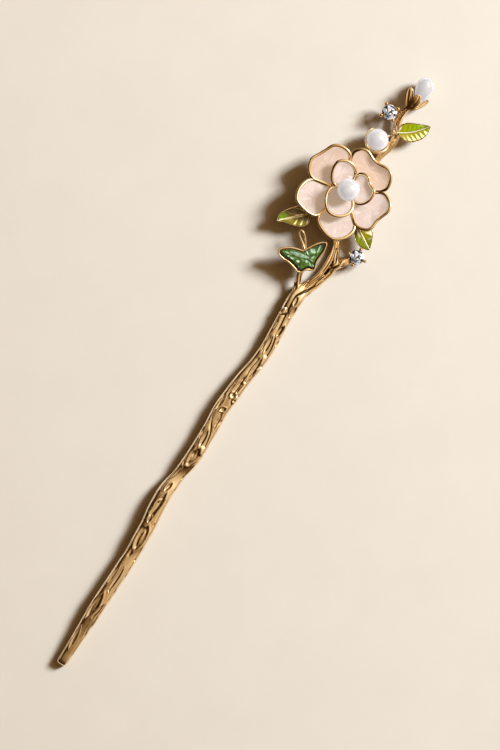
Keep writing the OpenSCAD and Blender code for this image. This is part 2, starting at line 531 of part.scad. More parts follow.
// Pins that the pearls are glued on
module pins() {
  translate([inner_mid[0], inner_mid[1], 0.9])
    cylinder(h = 7.5, r = post_r, $fn = 16);
  translate([inner_mid[0], inner_mid[1], 0.9])
    cylinder(h = 2.7, r1 = 1.4, r2 = 1.0, $fn = 16);
  translate([bud_mid[0], bud_mid[1], bud_mid[2] - bud_pearl_d / 2 - 0.3])
    cylinder(h = 2.2, r = pin_r, $fn = 12);
  translate(drop_base)
    rotate([0, 0, drop_turn])
      translate([-3, 0, 0])
        rotate([0, 90, 0])
          cylinder(h = 4.6, r = pin_r, $fn = 12);
}

module twig() {
  color(gilt)
    place()
      union() {
        stick_body();
        tube(right_strand, 37, 8);
        tube(left_strand, 37, 8);
        tube(left_prong, 12, 8);
        tube(side_twig, 9, 8);
        tube(bud_stalk, 4, 8);
        tube(stone_stalk, 4, 6);
        tube(left_leaf_stalk, 6, 6);
        tube(lower_leaf_stalk, 6, 6);
        tube(upper_leaf_stalk, 7, 6);
        tube(left_sepal, 7, 8);
        tube(middle_sepal, 7, 8);
        tube(right_sepal, 7, 8);
        ball([81.3, -1.85, 3.35], 1.35);
        leaf_tray(upper_leaf);
        leaf_tray(left_leaf);
        leaf_tray(lower_leaf);
        bezel();
        tube(feeler, 18, 5);
        setting(upper_stone_mid, upper_stone_turn);
        setting(lower_stone_mid, lower_stone_turn);
        bud_cup();
        pins();
      }
}

// Round brilliant: table, eight stars, eight bezels, girdle and pavilion
function ring8(r, z, turn) = [for (k = [0:7]) [r * cos(45 * k + turn), r * sin(45 * k + turn), z]];
module brilliant(mid, turn) {
  r = stone_d / 2;
  rt = r * 0.55;
  zt = r * 0.36;
  zg = r * 0.04;
  zc = -r * 0.84;
  zs = zg + 0.42 * (zt - zg);
  rs = (rt + (r - rt) * 0.58) / cos(22.5);
  zp = -zg + 0.74 * (zc + zg);
  rp = r * (zp - zc) / (-zg - zc) / cos(22.5);
  g = [for (k = [0:15]) [r * cos(22.5 * k), r * sin(22.5 * k), 0]];
  pts = concat(ring8(rt, zt, 0), ring8(rs, zs, 22.5),
    [for (q = g) q + [0, 0, zg]], [for (q = g) q - [0, 0, zg]],
    ring8(rp, zp, 22.5), [[0, 0, zc]]);
  translate(mid)
    rotate([0, 0, turn])
      polyhedron(points = pts, faces = concat(
        [[7, 6, 5, 4, 3, 2, 1, 0]],
        [for (k = [0:7]) [k, (k + 1) % 8, 8 + k]],
        [for (k = [0:7]) [k, 8 + k, 16 + 2 * k, 8 + (k + 7) % 8]],
        [for (k = [0:7]) [8 + k, 17 + 2 * k, 16 + 2 * k]],
        [for (k = [0:7]) [8 + k, 16 + (2 * k + 2) % 16, 17 + 2 * k]],
        [for (j = [0:15]) [16 + j, 16 + (j + 1) % 16, 32 + (j + 1) % 16, 32 + j]],
        [for (k = [0:7]) [48 + k, 32 + 2 * k, 33 + 2 * k]],
        [for (k = [0:7]) [48 + k, 33 + 2 * k, 32 + (2 * k + 2) % 16]],
        [for (k = [0:7]) [56, 48 + (k + 7) % 8, 32 + 2 * k, 48 + k]]), convexity = 2);
}

module centre_pearl() {
  r = centre_pearl_d / 2;
  color(pearl)
    place()
      translate([inner_mid[0], inner_mid[1], 5.98 + r])
        difference() {
          sphere(r, $fn = 64);
          translate([0, 0, -r - 1])
            cylinder(h = 4, r = post_r + 0.08, $fn = 32);
        }
}
module bud_pearl() {
  r = bud_pearl_d / 2;
  color(pearl)
    place()
      translate(bud_mid)
        difference() {
          sphere(r, $fn = 64);
          translate([0, 0, -r - 1])
            cylinder(h = 3, r = pin_r + 0.08, $fn = 32);
        }
}
// Drop pearl: an egg, its narrow end cut flat in the cup, t from 0 there to 1
function drop_r(t) = let (u = (t + 0.18) / 1.18)
  drop_pearl_d / 2 * sqrt(max(1 - pow(abs(2 * u - 1), 2.1), 0)) * (0.76 + 0.44 * u) / 1.018;
module drop_pearl() {
  bore = pin_r + 0.08;
  color(pearl)
    place()
      translate(drop_base)
        rotate([0, 0, drop_turn])
          rotate([0, 90, 0])
            rotate_extrude($fn = 64)
              polygon(concat(
                [[bore, 0]],
                [for (k = [0:20]) let (t = sin(k * 4.5))
                  [k == 20 ? 0 : drop_r(t), t * drop_len]],
                [[0, 2.1], [bore, 2.1]]));
}

module place() {
  translate([-plan_mid[0], -plan_mid[1], 0])
    children();
}
module outer_enamel(k) {
  color(peach)
    place()
      petal_enamel(outer_layer, outer_table[k]);
}
module inner_enamel(k) {
  color(peach)
    place()
      petal_enamel(inner_layer, inner_table[k]);
}
module leaf_enamel(leaf, side) {
  color(lime)
    place()
      leaf_cell(leaf, side);
}
module outer_enamel_a() { outer_enamel(0); }
module outer_enamel_b() { outer_enamel(1); }
module outer_enamel_c() { outer_enamel(2); }
module outer_enamel_d() { outer_enamel(3); }
module outer_enamel_e() { outer_enamel(4); }
module inner_enamel_a() { inner_enamel(0); }
module inner_enamel_b() { inner_enamel(1); }
module inner_enamel_c() { inner_enamel(2); }
module upper_leaf_front() { leaf_enamel(upper_leaf, -1); }
module upper_leaf_back() { leaf_enamel(upper_leaf, 1); }
module left_leaf_front() { leaf_enamel(left_leaf, 1); }
module left_leaf_back() { leaf_enamel(left_leaf, -1); }
module lower_leaf_front() { leaf_enamel(lower_leaf, -1); }
module lower_leaf_back() { leaf_enamel(lower_leaf, 1); }
module upper_stone() {
  color(clear)
    place()
      brilliant(upper_stone_mid, upper_stone_turn);
}
module lower_stone() {
  color(clear)
    place()
      brilliant(lower_stone_mid, lower_stone_turn);
}

twig();
outer_petals();
inner_petals();
outer_enamel_a();
outer_enamel_b();
outer_enamel_c();
outer_enamel_d();
outer_enamel_e();
inner_enamel_a();
inner_enamel_b();
inner_enamel_c();
upper_leaf_front();
upper_leaf_back();
left_leaf_front();
left_leaf_back();
lower_leaf_front();
lower_leaf_back();
butterfly_enamel();
centre_pearl();
bud_pearl();
drop_pearl();
upper_stone();
lower_stone();
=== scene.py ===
import math

import bpy
import numpy as np
from mathutils import Matrix


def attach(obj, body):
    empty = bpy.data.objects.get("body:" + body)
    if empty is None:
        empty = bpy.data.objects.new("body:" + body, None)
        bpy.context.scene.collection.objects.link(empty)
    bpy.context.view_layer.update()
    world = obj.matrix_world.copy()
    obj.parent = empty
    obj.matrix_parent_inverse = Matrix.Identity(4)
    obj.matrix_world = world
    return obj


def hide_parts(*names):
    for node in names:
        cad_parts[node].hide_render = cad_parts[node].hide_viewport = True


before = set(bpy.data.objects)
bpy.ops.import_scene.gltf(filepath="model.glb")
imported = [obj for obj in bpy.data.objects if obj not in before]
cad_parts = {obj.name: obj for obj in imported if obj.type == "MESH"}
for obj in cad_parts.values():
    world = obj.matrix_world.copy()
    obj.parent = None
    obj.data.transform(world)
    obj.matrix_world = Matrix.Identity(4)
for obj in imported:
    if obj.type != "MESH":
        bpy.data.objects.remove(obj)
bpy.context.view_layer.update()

# Looks of a gilt hair stick. The tables are in millimetres, as the part's source has them, with
# X from the stick's tip to its head and Z up. PLAN_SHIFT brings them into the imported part's frame.
MM = 0.001
PLAN_SHIFT = np.array([0.5, 0.1, 0.0])

# Camera: straight above the surface, turned so that the stick climbs to the upper right. It
# stands VIEW_UP over the point VIEW_MID and sees VIEW_TALL from top to bottom.
VIEW_TURN = math.radians(58)
VIEW_MID = (0.11, -3.21)
VIEW_UP = 900.0
VIEW_TALL = 195.0

# Light, in degrees: the key comes from the picture's right and a little from its top. The
# room's bright panel stands above it, and grows from nothing to its full glow between two
# angles from its middle. Lights stand LIGHTS_AWAY metres off, and the floor reaches FLOOR_HALF.
LIGHTS_AWAY = 1.5
FLOOR_HALF = 1.5
KEY_AZIMUTH = -33
KEY_ELEVATION = 33
PANEL_ELEVATION = 40
PANEL_ANGLES = (11, 6)
PANEL_GLOW = 8.0
# The room's tones: angle from the panel in degrees, linear colour
ROOM_TONES = [
    (180, (0.1, 0.065, 0.036)), (112, (0.045, 0.024, 0.01)), (82, (0.025, 0.01, 0.003)),
    (68, (0.1, 0.05, 0.02)), (58, (0.33, 0.22, 0.115)), (46, (0.6, 0.45, 0.28)),
    (32, (0.88, 0.71, 0.49)), (20, (1.25, 1.08, 0.82)), (12, (1.6, 1.5, 1.3)),
]

# Stick stations: x, middle y, width. Its section is an oblong STICK_FLAT as high as wide, whose
# corners are rounded by the power STICK_SQUARE.
STICK = [
    [-90.1, -1.4, 1.9], [-89.4, -1.4, 2.7], [-86, -1.5, 3.0], [-80, -1.5, 3.4],
    [-75, -1.55, 3.9], [-70, -1.57, 4.05], [-65, -1.73, 4.05], [-60, -1.85, 4.1],
    [-56, -1.92, 3.95], [-52, -1.78, 4.2], [-47, -1.47, 4.25], [-42, -0.9, 4.35],
    [-37, -0.8, 4.2], [-32, -1.4, 3.5], [-28, -1.95, 4.1], [-25, -2.1, 4.2],
    [-21, -2.05, 4.1], [-17, -1.95, 4.1], [-12, -1.65, 4.2], [-7, -2.0, 4.3],
    [-2, -2.45, 4.1], [3, -3.2, 3.9], [8, -3.45, 3.8], [13, -3.2, 3.8],
    [18, -2.9, 3.8], [23, -2.85, 4.2], [26.5, -3.25, 3.2],
]
STICK_FLAT = 0.88
STICK_SQUARE = 3.2
# The bark's greatest depth, how much closer its points stand on top, and how the underside
# takes the upper side's hollows: so far further on, and at this share of their depth
BARK_DEEPEST = 0.8
TOP_CLOSER = 0.42
UNDER_ON = 4
UNDER_SHARE = 0.6

# Bark hollows, and raised knots where the depth is below 0: x, y, length, width, depth, slant
HOLLOWS = [
    [-88.0, -2.7, 3.6, 0.7, 0.12, -6], [-82.2, -0.85, 6.2, 0.8, 0.32, 4],
    [-78.0, -2.85, 7.0, 0.9, 0.14, -2], [-72.4, -0.82, 7.4, 1.6, 0.42, -3],
    [-73.2, -2.3, 4.8, 0.7, 0.22, -9], [-70.2, -3.35, 1.2, 0.4, 0.12, 0],
    [-67.1, -2.05, 1.0, 0.4, 0.2, 10], [-63.0, -0.78, 5.0, 0.55, 0.28, -4],
    [-63.7, -2.0, 7.0, 0.7, 0.24, -2], [-64.5, -3.4, 8.0, 0.7, 0.12, -3],
    [-56.8, -3.4, 1.0, 0.4, 0.2, 0], [-51.2, -1.75, 7.2, 2.1, 0.35, 3],
    [-51.1, -1.85, 5.0, 1.0, -0.28, 2], [-46.5, -2.75, 1.1, 0.35, 0.14, 0],
    [-45.8, -1.0, 2.0, 0.8, 0.3, 0], [-41.6, -0.9, 7.6, 1.3, 0.4, -4],
    [-40.3, -0.75, 1.6, 0.7, -0.2, -20], [-36.1, -0.75, 3.0, 0.9, 0.3, -14],
    [-37.2, -2.6, 3.8, 0.7, 0.1, 3], [-40.4, -2.8, 0.9, 0.35, 0.14, 0],
    [-32.2, -2.6, 1.4, 0.35, 0.14, -3], [-28.3, -0.7, 2.6, 0.6, 0.22, 5],
    [-26.2, -2.1, 5.4, 2.3, 0.38, -8], [-27.1, -2.3, 2.6, 0.5, -0.22, -30],
    [-20.7, -1.85, 5.0, 0.9, 0.36, 4], [-19.0, -0.6, 4.6, 0.5, 0.25, 4],
    [-15.0, -2.7, 5.0, 0.6, 0.2, 3], [-11.7, -2.15, 1.7, 1.0, 0.6, -35],
    [-10.3, -0.65, 4.4, 0.8, 0.36, -3], [-8.2, -3.45, 2.8, 1.3, -0.24, 0],
    [-8.3, -3.3, 0.9, 0.5, 0.4, -20], [-5.4, -1.15, 5.4, 0.5, 0.28, -5],
    [-4.4, -2.25, 6.6, 1.0, 0.34, -2], [-7.2, -2.4, 1.6, 1.3, 0.22, 70],
    [1.6, -3.55, 6.6, 1.0, 0.34, -3], [8.8, -3.15, 5.0, 0.9, 0.4, 4],
    [8.8, -2.2, 5.0, 0.5, 0.16, 2], [10.2, -4.95, 1.8, 0.5, 0.2, 4],
    [13.3, -4.05, 3.6, 1.0, 0.45, -4], [19.2, -4.15, 3.4, 0.8, 0.28, -3],
    [18.3, -1.9, 2.2, 1.7, -0.4, 0], [22.0, -3.2, 2.6, 0.9, 0.2, 10],
]

# Cracks of the bark: depth, width of the steep wall, reach of the slope beyond it, and the
# stations x, y that the crack runs through
CRACKS = [
    [0.34, 0.3, 0.35, [-57.0, -1.5, -54.0, -1.6, -52.0, -1.15, -50.0, -0.95, -48.3, -1.1]],
    [0.3, 0.16, 0.5, [-54.2, -2.2, -52.5, -2.6, -51.0, -2.7, -49.5, -2.5, -48.0, -2.05]],
    [0.34, 0.16, 0.5, [-45.3, -1.4, -43.0, -1.55, -41.0, -1.75, -39.6, -2.0]],
    [0.28, 0.14, 0.25, [-44.7, 0.05, -43.5, -0.02, -42.1, 0.05]],
    [0.36, 0.2, 0.3, [-36.9, -1.0, -36.2, -1.1, -35.4, -1.15]],
    [0.34, 0.22, 0.4, [-38.0, 0.45, -36.0, 0.4, -34.5, 0.2, -33.5, -0.3, -32.5, -0.75,
                        -31.0, -1.05, -29.5, -1.2, -28.0, -1.05, -26.3, -0.55]],
    [0.44, 0.18, 0.7, [-28.9, -2.35, -28.0, -2.9, -27.0, -3.45, -26.0, -3.75, -24.7, -3.85]],
    [0.34, 0.2, 0.3, [-26.1, -1.85, -25.3, -1.95, -24.6, -2.05]],
    [0.4, 0.24, 0.36, [-22.8, -3.35, -21.0, -3.15, -19.0, -2.75, -17.8, -2.2, -16.5, -1.45,
                        -15.0, -0.85, -13.5, -0.35, -12.0, -0.05, -10.2, 0.05, -8.6, -0.35]],
    [0.16, 0.14, 0.3, [-22.5, -2.3, -20.5, -2.38, -18.5, -2.15]],
    [0.28, 0.14, 0.3, [-23.6, -0.8, -21.5, -0.85, -20.0, -0.85, -18.8, -0.72]],
    [0.26, 0.16, 0.5, [-16.4, -3.0, -15.3, -3.35, -14.4, -3.5]],
    [0.14, 0.14, 0.4, [-15.6, -2.5, -13.5, -2.45, -12.2, -2.2]],
    [0.25, 0.16, 0.25, [-8.6, -1.05, -7.5, -1.3, -6.0, -1.2, -4.6, -1.05]],
    [0.4, 0.16, 0.6, [-6.4, -2.9, -5.0, -3.0, -3.2, -3.2]],
    [0.34, 0.18, 0.35, [-2.8, -2.75, -1.0, -2.65, 1.3, -2.6, 2.5, -2.9, 4.6, -3.05]],
    [0.4, 0.16, 0.6, [-3.0, -3.4, -2.0, -3.85, -0.5, -4.05, 1.3, -4.15, 2.2, -4.5, 3.3, -5.1]],
    [0.34, 0.16, 0.28, [6.2, -3.05, 8.0, -2.8, 9.5, -2.65, 11.0, -2.65]],
    [0.5, 0.24, 0.5, [5.6, -4.5, 8.0, -4.5, 10.0, -4.1, 12.0, -3.55, 13.5, -3.4, 16.0, -3.1,
                        18.0, -2.8, 21.0, -2.5, 23.3, -2.4, 24.2, -2.75, 25.5, -3.5, 27.0, -4.3]],
    [0.45, 0.6, 0.4, [11.5, -4.1, 13.0, -4.15, 14.6, -4.2]],
    [0.25, 0.14, 0.3, [13.0, -2.2, 14.2, -2.2, 15.4, -2.1]],
    [0.22, 0.14, 0.6, [21.4, -3.55, 22.2, -3.6, 23.4, -3.4]],
]
# The crack along the far edge: depth, width of the wall, reach of the slope, way in from the edge
SHOULDER = [0.16, 0.2, 0.2, 0.34]

# Branch tubes: x, y, z, half width, half height
RIGHT_STRAND = [
    [20, -3.3, 1.4, 0.7, 0.8], [25, -4.0, 1.3, 1.1, 1.1], [28, -5.4, 1.1, 0.9, 1.0],
    [31, -6.4, 0.95, 0.8, 0.9], [33.6, -7.05, 0.9, 0.9, 0.9], [35.8, -6.75, 0.85, 0.8, 0.85],
    [37.8, -6.0, 0.9, 0.75, 0.9], [39.6, -5.25, 0.85, 0.6, 0.85],
    [41.6, -4.35, 0.85, 0.55, 0.85], [46, -4.0, 0.85, 0.6, 0.8], [54, -3.7, 0.85, 0.6, 0.8],
    [60, -2.6, 0.85, 0.6, 0.75], [64.5, -2.0, 0.9, 0.6, 0.75], [68, -2.9, 1.0, 0.6, 0.7],
    [70.3, -3.3, 1.2, 0.6, 0.7], [72.3, -3.1, 1.45, 0.55, 0.7], [74.0, -2.3, 1.8, 0.55, 0.65],
    [75.9, -1.5, 2.1, 0.5, 0.65], [78.2, -1.25, 2.5, 0.5, 0.6], [80.6, -1.7, 2.9, 0.6, 0.6],
]
LEFT_STRAND = [
    [20, -2.6, 1.6, 0.7, 0.7], [24.5, -2.9, 1.7, 0.95, 0.85], [28, -3.7, 1.65, 0.72, 0.8],
    [31, -4.8, 1.6, 0.72, 0.78], [34, -5.15, 1.5, 0.85, 0.82], [36.8, -5.0, 1.3, 0.85, 0.85],
    [38.8, -4.5, 1.2, 0.6, 0.8], [40.6, -3.7, 1.1, 0.55, 0.8], [43.8, -1.0, 0.95, 0.6, 0.8],
    [47.2, 2.4, 0.8, 0.75, 0.75], [50.5, 2.4, 0.82, 0.75, 0.8], [53.5, 0.5, 0.95, 0.9, 0.8],
    [58, -0.9, 0.95, 0.6, 0.75], [62.5, -1.2, 1.1, 0.55, 0.7], [66, -1.6, 1.3, 0.55, 0.7],
    [68.6, -2.1, 1.5, 0.5, 0.65], [70.6, -2.3, 1.7, 0.5, 0.6], [72.3, -1.8, 1.9, 0.45, 0.6],
    [74.2, -0.9, 2.2, 0.45, 0.6], [76.6, -0.35, 2.6, 0.45, 0.55], [79.4, -0.9, 3.0, 0.45, 0.5],
    [81, -1.6, 3.1, 0.5, 0.5],
]
LEFT_PRONG = [
    [20.5, -2.3, 1.7, 0.8, 0.8], [23.5, -1.9, 2.1, 0.95, 0.85], [26, -1.2, 2.6, 0.85, 0.75],
    [28.2, -0.5, 3.2, 0.8, 0.65], [30.4, 0.2, 3.65, 0.85, 0.45], [32.4, 0.9, 3.8, 0.6, 0.3],
]
SIDE_TWIG = [
    [33.2, -6.6, 1.1, 0.5, 0.6], [34.8, -7.1, 1.1, 0.9, 0.85], [36.2, -7.8, 1.05, 1.05, 0.85],
    [37.5, -8.7, 1.0, 1.0, 0.75], [38.9, -9.9, 0.85, 0.95, 0.65], [40.1, -10.7, 0.75, 0.7, 0.4],
]

# Dark strips laid in the fork's grooves, painted shade: x, y, half width
FORK_GROOVE = [
    [17.1, -3.1, 0.1], [19.5, -2.8, 0.16], [21.6, -2.6, 0.18], [23.2, -2.65, 0.26],
    [24.9, -3.6, 0.4], [26.8, -4.7, 0.34], [28.3, -5.25, 0.18], [29.4, -5.2, 0.14],
    [30.8, -5.4, 0.18], [33.5, -5.98, 0.24], [35.5, -5.85, 0.28], [37.2, -5.5, 0.2],
    [39.5, -4.95, 0.08],
]
SIDE_GROOVE = [[34.3, -6.65, 0.08], [35.3, -7.35, 0.3], [36.4, -8.2, 0.1]]
# Their skin's height over the metal, its fall to both edges, and how deep it reaches
GROOVE_OVER = 0.05
GROOVE_FALL = 0.09
GROOVE_UNDER = 0.2

# Stalks and sepals: x, y, z, half width, half height
BUD_STALK = [
    [65.3, -1.9, 1.2, 0.6, 0.6], [66.4, -0.9, 1.4, 0.6, 0.5], [67.6, 0.3, 1.5, 0.7, 0.35],
]
STONE_STALK = [
    [76.2, -0.5, 2.3, 0.4, 0.45], [76.5, 0.6, 2.0, 0.5, 0.45], [76.5, 1.9, 1.75, 0.7, 0.3],
]
LEFT_LEAF_STALK = [
    [47, 2.4, 0.9, 0.55, 0.55], [45.7, 3.6, 1.7, 0.45, 0.45], [44.2, 5.2, 2.6, 0.45, 0.35],
    [42.7, 7.0, 3.0, 0.5, 0.25],
]
LOWER_LEAF_STALK = [
    [50.5, -4.0, 0.9, 0.55, 0.55], [49.2, -4.9, 1.7, 0.45, 0.45],
    [47.9, -6.2, 2.35, 0.45, 0.35], [46.5, -8.0, 2.6, 0.5, 0.28],
]
UPPER_LEAF_STALK = [
    [70.7, -0.7, 2.0, 0.25, 0.3], [71.3, -1.0, 2.35, 0.42, 0.4], [72.2, -1.5, 2.45, 0.5, 0.4],
    [73.2, -2.4, 2.4, 0.45, 0.35], [74.3, -3.6, 2.35, 0.5, 0.25],
]
LEFT_SEPAL = [
    [79.8, -1.35, 2.9, 0.5, 0.5], [80.9, -0.85, 3.1, 0.85, 0.5], [82.1, -0.35, 3.5, 1.0, 0.5],
    [83.3, 0.2, 4.0, 1.0, 0.42], [84.1, 0.58, 4.35, 0.8, 0.34], [84.6, 0.82, 4.5, 0.35, 0.22],
]
MIDDLE_SEPAL = [
    [79.8, -1.3, 3.3, 0.5, 0.5], [80.9, -1.7, 4.2, 1.0, 0.5], [82.0, -2.0, 5.1, 1.2, 0.4],
    [83.0, -2.1, 5.6, 1.1, 0.32], [83.9, -2.0, 5.85, 0.6, 0.22],
]
RIGHT_SEPAL = [
    [79.7, -1.5, 2.8, 0.5, 0.5], [80.6, -2.2, 2.85, 0.8, 0.5], [81.5, -3.05, 2.8, 0.8, 0.45],
    [82.5, -3.85, 2.5, 0.7, 0.42], [83.6, -4.4, 2.1, 0.62, 0.33], [84.4, -4.8, 2.1, 0.35, 0.25],
]

# Petals: from angle, to angle, notch radius there, notch radius here, bulge, bulge power,
# dip depth, dip place, dip width, lift of the outer rim, drop of the side rims
OUTER_TABLE = [
    [23.2, 101, 9.9, 9.6, 4.36, 1.3, 1.92, 0, 0.34, -0.5, 0],
    [-59.2, 23.2, 9.9, 9.9, 3.98, 1.57, 2.6, 0.1, 0.37, -0.2, 0.12],
    [-132, -59.2, 9.6, 10, 4.37, 1.3, 2.5, -0.06, 0.38, 0, 0.04],
    [163.4, 228, 10, 9.7, 3.59, 1.42, 0.6, -0.5, 0.6, 0.1, 0.16],
    [101, 163.4, 9.6, 10, 3.81, 1.3, 0.6, 0.36, 0.6, 0.5, 0.08],
]
INNER_TABLE = [
    [3, 104.5, 4.7, 4.2, 4.23, 1.41, 1.15, 0.5, 0.58, 0, 0],
    [-123, 3, 3.5, 4.9, 2.92, 1.55, 0.82, 0.29, 0.2, 0.1, 0.14],
    [104.5, 237, 4.3, 3.7, 4.5, 1.43, 1.08, -0.5, 0.6, 0.2, 0.07],
]
# Flower layers: middle, rim height at the middle, rise to the edge, edge radius,
# petal centre radius, inner end radius, bowl depth
OUTER_LAYER = dict(mid=(52.93, 0.89), z=4.6, rise=2.4, edge=12.8, centre=8.2, inner=3.6, deep=0.6)
INNER_LAYER = dict(mid=(53.47, 0.47), z=5.9, rise=2.3, edge=8.5, centre=4.7, inner=1.9, deep=0.45)
# The wall's width, the half width of the round bead on it, how far the bowl's edge lies below
# the bead's top, the sheet, the gap under each enamel, and the enamel
RIM_W = 0.62
BEAD = 0.4
RIM_H = 0.45
SHEET_T = 0.6
GAP = 0.06
ENAMEL_T = 0.26
# A petal's outer wall: way in from its outline, way under the bead's top. Inside, the bead's
# foot lies BEAD_FOOT under its top. The bead's arc leaves both sides at BEAD_START degrees.
PETAL_WALL = ((0.0, 0.36), (0.03, 0.66), (0.16, RIM_H + 0.4))
BEAD_FOOT = 0.42
BEAD_START = 40
# The enamel is thicker by this in the petal's middle, and rounded off by this at its edge
GLAZE_DOME = 0.12
GLAZE_EDGE = 0.1

# Leaves: base, height of base and tip, heading, rows of along, bow, left and right half width
UPPER_LEAF = dict(base=(73.0, -2.25), low=2.6, high=3.4, turn=-47.7, rows=[
    [0, 0, 0.3, 0.6], [1.45, -0.39, 2.15, 2.0], [3.05, -0.6, 2.65, 2.6],
    [4.65, -0.62, 2.35, 2.6], [6.25, -0.47, 1.65, 2.45], [7.8, -0.23, 0.85, 1.7],
    [9.1, 0, 0.06, 0.06]])
LEFT_LEAF = dict(base=(43.6, 5.4), low=3.1, high=4.4, turn=134.7, rows=[
    [0, 0, 0.6, 0.5], [1.33, 0, 2.4, 2.2], [2.67, 0, 2.9, 2.7], [4.26, 0, 2.65, 2.6],
    [5.86, 0, 1.8, 2.45], [7.46, 0, 0.8, 2.0], [8.5, 0, 0.4, 1.3], [9.3, 0, 0.06, 0.06]])
LOWER_LEAF = dict(base=(47.9, -5.1), low=2.7, high=3.4, turn=-121.4, rows=[
    [0, 0, 0.5, 0.5], [1.5, 0, 1.8, 1.2], [3, 0, 2.8, 1.8], [4.5, 0, 3.0, 2.2],
    [6, 0, 2.3, 2.15], [7.2, 0, 1.4, 1.65], [8.1, 0, 0.6, 0.85], [8.7, 0, 0.06, 0.06]])
# Width of a leaf's rim and of its midrib, how much wider the midrib is at its root, its half
# height and its middle's height, and the leaf's cupping per square millimetre
LEAF_RIM = 0.26
RIB_W = 0.36
RIB_ROOT = 1.2
RIB_HALF = 0.3
RIB_LIFT = 0.12
LEAF_CUP = 0.045
# Leaf enamel: thickness, rise of its dome and of its veins, the veins' distance, and how many of
# them a millimetre across crosses
LEAF_ENAMEL = 0.15
LEAF_DOME = 0.05
LEAF_VEIN = 0.035
VEIN_APART = 1.25
VEIN_LEAN = 0.55
# Steps round a leaf's rim: share of its width, height
LEAF_WALL = ((0.98, 0.2), (0.86, 0.3), (0.66, 0.34), (0.4, 0.34), (0.18, 0.3), (0.05, 0.2),
             (0.0, 0.08), (0.04, -0.1), (0.3, -0.22))

# Butterfly outline, anticlockwise from the right wing's tip
WING = [
    [39.3, -1.7], [38.4, -0.4], [36.8, 0.8], [35.1, 1.8], [34.3, 2.4], [34.1, 3.2], [33.5, 5.0],
    [32.5, 6.6], [31.4, 7.6], [30.4, 7.6], [29.8, 6.7], [29.5, 5.2], [29.5, 3.6], [29.1, 1.9],
    [28.6, 0.4], [29.1, -0.7], [30.1, -1.2], [30.6, -2.0], [31.0, -2.9], [31.8, -3.2],
    [32.7, -2.9], [33.8, -2.6], [35.4, -2.7], [37.2, -2.8], [38.8, -2.4],
]
# Its middle, the half width of its bead, how far in its floor ends, and over its plane the
# heights of the floor and of the bead's middle
WING_MID = np.array([33.2, 0.3])
WING_BEAD = 0.3
WING_FLOOR = 2 * WING_BEAD + 0.06
WING_LOW = 0.4
WING_HIGH = 0.66
# Its plane's height at y = 0 and its rise along y
WING_Z = 3.83
WING_RISE = 0.16

# Mint marks of the inlay: x and y of both ends, half width, strength
MINT_MARKS = [
    [32.09, 4.57, 33.34, -0.02, 0.55, 0.55], [31.5, 5.82, 31.6, 4.57, 0.2, 0.7],
    [30.97, 4.61, 30.97, 4.45, 0.22, 0.9], [30.93, 3.69, 30.97, 3.32, 0.34, 1],
    [31.12, 1.91, 31.16, 1.6, 0.36, 1], [32.29, -0.12, 32.33, -0.37, 0.36, 1],
    [30.04, 0.99, 30.02, 0.88, 0.2, 0.8], [35.47, 0.4, 35.4, -0.72, 0.7, 0.7],
    [37.77, -1.08, 35.82, -1.29, 0.24, 0.85], [34.45, -1.16, 33.49, -0.84, 0.3, 0.5],
    [34.6, 1.45, 34.01, 0.37, 0.26, 0.7], [32.37, -1.91, 32.09, -2.88, 0.22, 0.7],
    [32.44, -0.88, 31.61, -2.01, 0.18, 0.5], [32.26, 1.46, 32.0, 0.07, 0.2, 0.3],
]

# The butterfly's loop feeler: x, y, z, half width, half height
FEELER = [
    [34.75, 2.15, 4.6, 0.42, 0.4], [35.55, 2.95, 4.7, 0.34, 0.32], [36.4, 4.05, 4.9, 0.27, 0.27],
    [37.1, 4.95, 5.1, 0.25, 0.25], [37.85, 5.42, 5.25, 0.25, 0.25], [38.4, 5.2, 5.3, 0.25, 0.25],
    [38.15, 4.4, 5.25, 0.25, 0.25], [37.35, 3.5, 5.05, 0.26, 0.26], [36.35, 2.75, 4.8, 0.32, 0.3],
    [35.1, 2.05, 4.5, 0.42, 0.4],
]

# Pearls and stones: middles and radii, the drop pearl's inner end, heading and length, and the
# headings of the stones' first prongs in degrees
CENTRE_MID = np.array([53.47, 0.47, 8.88])
CENTRE_R = 2.9
BUD_MID = np.array([68.7, 1.0, 4.4])
BUD_R = 2.85
DROP_BASE = np.array([83.5, -2.75, 3.5])
DROP_TURN = math.radians(9)
DROP_LEN = 5.895
DROP_R = 2.35
DROP_CUT = 0.18 / 1.18
UPPER_STONE = np.array([76.4, 2.1, 4.2])
LOWER_STONE = np.array([40.1, -10.6, 3.0])
UPPER_STONE_TURN = 52
LOWER_STONE_TURN = 5
STONE_R = 2.0
# Direction of the bud bowl's lowest point
BUD_LEAN = np.array([-0.486, -0.304, -0.82])
# Wire that hugs the bud pearl: azimuth and elevation on the pearl in degrees, lift off it
BUD_RING = [
    [186, -8, 0.2], [174, 2, 0.2], [150, 5, 0.2], [124, 4, 0.2], [98, 3, 0.2], [74, 0, 0.18],
    [54, -8, 0.16], [38, -24, 0.16], [24, -46, 0.16], [10, -68, 0.16],
]
BUD_WIRE_R = 0.17
BUD_WIRE_OFF = 0.16
# Body that the three sepals grow from
SEPAL_MID = [81.3, -1.85, 3.35]
SEPAL_R = 1.35
# Profiles about an upright axis, distance from it and height: a prong from its foot to its tip,
# and the small cup under a stone, both from the stone's middle, and the flower's post
PRONG_R = 0.27
PRONG_OUT = STONE_R + GAP + 0.05 + PRONG_R
PRONG = ((0.7, -2.25), (1.5, -1.6), (PRONG_OUT - 0.05, -0.8), (PRONG_OUT, 0), (STONE_R + 0.32, 0.5))
PRONG_TIP = (STONE_R + 0.3, 0.64)
STONE_CUP = ((0.4, -2.55), (0.8, -2.55), (0.95, -2.3), (1.15, -2.0), (1.15, -1.92), (0.7, -1.95))
FLOWER_POST = ((0.5, 0.9), (1.4, 0.9), (1.0, 3.6), (0.55, 3.6), (0.55, 8.3), (0.3, 8.35))

UP = np.array([0.0, 0.0, 1.0])
